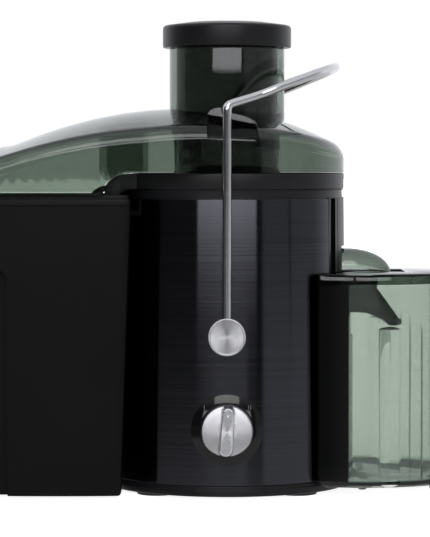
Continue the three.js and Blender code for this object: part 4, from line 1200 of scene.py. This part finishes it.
def knob():
    radius = span("control_knob")[1][0]
    made = cross_lathe("knob", [
        (0, -87.3), (radius, -87.3, 0.4), (radius - 0.4, -92.2, 0.6), (radius - 1.3, -93.6, 0.6),
        (radius - 5, -94.2, 4), (7, -95, 4), (0, -95.2),
    ], KNOB_Z, 128)
    bar_shape = rounded([(-4.9, -16.4, 4.2), (4.9, -16.4, 4.2), (4.2, 16.5, 4.1), (-4.2, 16.5, 4.1)], 10)
    turn = math.radians(-KNOB_TURN)
    turned = np.array([[math.cos(turn), math.sin(turn)], [-math.sin(turn), math.cos(turn)]])
    rings = []
    for y, pull in ((-93, -0.9), (-94.6, -0.35), (-96.5, 0), (-101.8, 0.25), (-102.6, 0.55), (-102.95, 1.1)):
        scale = np.array([1 - pull / 4.5, 1 - pull / 16.5])
        shape = (bar_shape * scale) @ turned
        rings.append(np.column_stack([shape[:, 0], np.full(len(shape), y), KNOB_Z + shape[:, 1]]))
    bar = skin("bar", rings)
    stem = cross_post(3.5, -88, -72, KNOB_Z)
    dimple = cross_lathe("dimple", [
        (0, -102.3), (0.8, -102.4, 0.3), (1.0, -104), (0, -104),
    ], KNOB_Z + DIMPLE_UP, 32)
    dimple.data.transform(Matrix.Translation((DIMPLE_ASIDE * MM, 0, 0)))
    made = cut(join(made, bar, stem), dimple)
    return piece(made, "dial_knob", "knob", "satin_chrome", "control_knob", sharp=22)


def dial_marks():
    """I, 0 and II printed round the bezel."""
    reach, height, stroke = 21.6, 3.2, 0.36
    made = []
    for angle, strokes in ((45, (0,)), (-45, (-0.75, 0.75))):
        x, z = -reach * math.sin(math.radians(angle)), reach * math.cos(math.radians(angle))
        for offset in strokes:
            left = x + offset - stroke / 2
            made.append(slab("mark", [
                (left, KNOB_Z + z - height / 2), (left + stroke, KNOB_Z + z - height / 2),
                (left + stroke, KNOB_Z + z + height / 2), (left, KNOB_Z + z + height / 2),
            ], -88, -84))
    oval = arc(0, KNOB_Z + reach, 1.15, height / 2, 0, 360, 40)[:-1]
    hole = arc(0, KNOB_Z + reach, 1.15 - stroke, height / 2 - stroke, 0, 360, 40)[:-1]
    made.append(cut(slab("mark", oval, -88, -84), slab("hole", hole, -90, -83)))
    face = cross_lathe("face", [(17, -83), (17, -87.44), (25, -84.76), (25, -83)], KNOB_Z, 128)
    marks = common(join(*made), face)
    marks.name = marks.data.name = "dial_marks"
    marks.data.materials.clear()
    marks.data.materials.append(INK)
    marks.data.polygons.foreach_set("material_index", [0] * len(marks.data.polygons))
    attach(marks, "base")
    return marks


# ---------------------------------------------------------------- basket, gland and other small pieces
def basket():
    made = lathe("basket", [
        (11.5, 146, 0.4), (13.5, 146, 0.4), (13.5, 162, 1), (46.5, 162, 2), (62.5, 200, 2), (67, 200.6, 0.3),
        (67, 203, 0.8), (61.2, 203, 0.8), (45.4, 163.6, 2), (11.5, 163.6, 0.5),
    ])
    piece(made, "sieve_basket", "rotor", "sieve_steel", "filter_basket")
    disc = lathe("grater", [
        (0, 164), (43.5, 164, 0.3), (43.5, 165.2, 0.3), (12, 165.2, 3), (8, 168, 2), (0, 169),
    ])
    teeth = []
    for i in range(54):
        x, y = polar(17 + 8 * (i % 3) + 1.2 * ((i // 3) % 2), i * 360 / 54)
        tip = [(1.0 * math.cos(a), 1.0 * math.sin(a)) for a in np.radians((90, 210, 330))]
        low_ring = np.array([(x + a, y + b, 164.9) for a, b in tip])
        high_ring = np.array([(x + a * 0.1, y + b * 0.1, 166.9) for a, b in tip])
        teeth.append(skin("tooth", [low_ring, high_ring]))
    piece(join(disc, *teeth), "grater_plate", "rotor", "sieve_steel", "grater_disc")


def gland():
    made = cross_lathe("gland", [
        (3.6, 76), (6, 76, 0.4), (6, 84.6), (10, 84.6, 0.8), (9.2, 87, 0.6), (7.4, 87.4, 0.3),
        (7.2, 89.4, 0.3), (8.2, 89.8, 0.4), (7.8, 91.6, 0.4), (6.6, 92, 0.3), (6.4, 94, 0.3),
        (7.2, 94.4, 0.4), (6.8, 96.2, 0.4), (5.9, 96.6, 0.3), (5.8, 98.4, 0.3), (6.2, 98.8, 0.3),
        (5.6, 101, 0.6), (3.6, 101, 0.4),
    ], GLAND_Z)
    return piece(made, "cord_gland_sleeve", "base", "rubber", "cord_gland")


def carried_over():
    """The inner pieces keep their CAD shape and get their slot's material."""
    slots = {row["node"]: row["material_slot"] for row in frame["record"]["subparts"]}
    for name, node in frame["nodes"].items():
        if node.hide_render:
            continue
        node.data.materials.clear()
        node.data.materials.append(MATERIAL[slots[name]])


# ---------------------------------------------------------------- studio
def camera():
    data = bpy.data.cameras.new("camera")
    data.lens = 174.3
    data.sensor_width = 36
    made = bpy.data.objects.new("camera", data)
    made.location = (0, -1.83, 0.226)
    made.rotation_euler = (math.radians(90 - 2.28), 0, math.radians(0.264))
    SCENE.collection.objects.link(made)
    SCENE.camera = made


def floor():
    mesh = bpy.data.meshes.new("floor")
    mesh.from_pydata([(-40, -40, 0), (40, -40, 0), (40, 40, 0), (-40, 40, 0)], [], [(0, 1, 2, 3)])
    made = bpy.data.objects.new("floor", mesh)
    SCENE.collection.objects.link(made)
    paint = Paint("pale_floor")
    paint.set(
        Base_Color=(0.93, 0.93, 0.93, 1), Roughness=0.9, Specular_IOR_Level=0.1,
        Emission_Color=(1, 1, 1, 1), Emission_Strength=0.9,
    )
    mesh.materials.append(paint.material)
    made.visible_glossy = False


# Brightness round the studio as reflections see it, by degrees to the right of the front.
AT_EYE_LEVEL = (
    (-180, 1.0), (-125, 1.0), (-114, 0.4), (-96, 0.36), (-90, 0.04), (-24, 0.04), (0, 0.03),
    (33, 0.04), (36, 0.36), (62, 0.36), (64, 0.05), (66, 0.4), (95, 0.45), (115, 1.0), (180, 1.0),
)
BELOW_IT = (
    (-180, 1.0), (-125, 1.0), (-112, 0.13), (-90, 0.09), (-24, 0.1), (-20, 0.2), (-10, 0.36),
    (17, 0.4), (22, 0.03), (33, 0.03), (37, 0.52), (95, 0.6), (108, 0.8), (125, 1.0), (180, 1.0),
)
LAMP = 4.0  # a long narrow lamp over the camera, seen in reflections only


def studio():
    """White all round for the camera and for diffuse light; panels and gaps for reflections."""
    world = bpy.data.worlds.new("studio")
    SCENE.world = world
    world.use_nodes = True
    tree = world.node_tree
    tree.nodes.clear()

    def node(kind, inputs=None, **settings):
        return shader_node(tree, kind, inputs, **settings)

    def math_of(operation, *values):
        return node("Math", dict(enumerate(values)), operation=operation).outputs[0]

    direction = node("SeparateXYZ", {0: node("TexCoord").outputs["Generated"]})
    front = math_of("MULTIPLY", direction.outputs["Y"], -1.0)
    azimuth = math_of("ARCTAN2", direction.outputs["X"], front)
    turn = math_of("ADD", math_of("DIVIDE", azimuth, 2 * math.pi), 0.5)

    def round_the_studio(levels):
        ramp = node("ValToRGB", {"Fac": turn})
        stops = ramp.color_ramp.elements
        while len(stops) < len(levels):
            stops.new(0.5)
        for stop, (angle, level) in zip(stops, levels):
            stop.position = (angle + 180) / 360
            stop.color = (level * 0.97, level * 0.985, level * 1.03, 1)
        return ramp.outputs["Color"]

    def mixed(factor, first, second):
        return node("Mix", {"Factor": factor, 6: first, 7: second}, data_type="RGBA").outputs[2]

    def between(low, high):
        height = direction.outputs["Z"]
        return node("MapRange", {"Value": height, "From Min": low, "From Max": high}).outputs[0]

    sides = mixed(between(-0.035, -0.005), round_the_studio(BELOW_IT), round_the_studio(AT_EYE_LEVEL))
    ground = mixed(between(-0.3, -0.2), (0.62, 0.62, 0.63, 1), sides)
    lamp_height = math_of("MULTIPLY", between(0.13, 0.15), between(0.30, 0.28))
    lamp_width = math_of("LESS_THAN", math_of("ABSOLUTE", azimuth), 0.5)
    lamp = math_of("MULTIPLY", lamp_height, lamp_width)
    lit = mixed(lamp, ground, (LAMP, LAMP, LAMP * 1.04, 1))
    panels = mixed(between(0.32, 0.6), lit, (0.8, 0.82, 0.86, 1))
    path = node("LightPath")
    reflected = math_of("GREATER_THAN", path.outputs["Glossy Depth"], 0.5)
    scattered = math_of("LESS_THAN", path.outputs["Diffuse Depth"], 0.5)
    mirrored = math_of("MULTIPLY", reflected, scattered)
    plain = node("Background", {"Color": (1, 1, 1, 1), "Strength": 1.0})
    shaped = node("Background", {"Color": panels, "Strength": 1.0})
    both = node("MixShader", {0: mirrored, 1: plain.outputs[0], 2: shaped.outputs[0]})
    node("OutputWorld", {"Surface": both.outputs[0]})


def key_light():
    """One soft box above the camera."""
    light = bpy.data.lights.new("soft_box", "AREA")
    light.shape = "RECTANGLE"
    light.size = 1.2
    light.size_y = 0.95
    light.energy = 12
    made = bpy.data.objects.new("soft_box", light)
    made.location = (0, -1.9, 1.48)
    made.rotation_euler = (math.radians(57), 0, 0)
    SCENE.collection.objects.link(made)


camera()
studio()
key_light()
floor()
base_plate()
feet()
screws()
housing()
wrap_panel()
collector()
spout()
lid()
pusher()
pulp_bin()
jug()
jug_lid()
separator()
locking_arm()
hubs()
bezel()
knob()
dial_marks()
basket()
gland()
carried_over()

SCENE.view_settings.view_transform = "Standard"
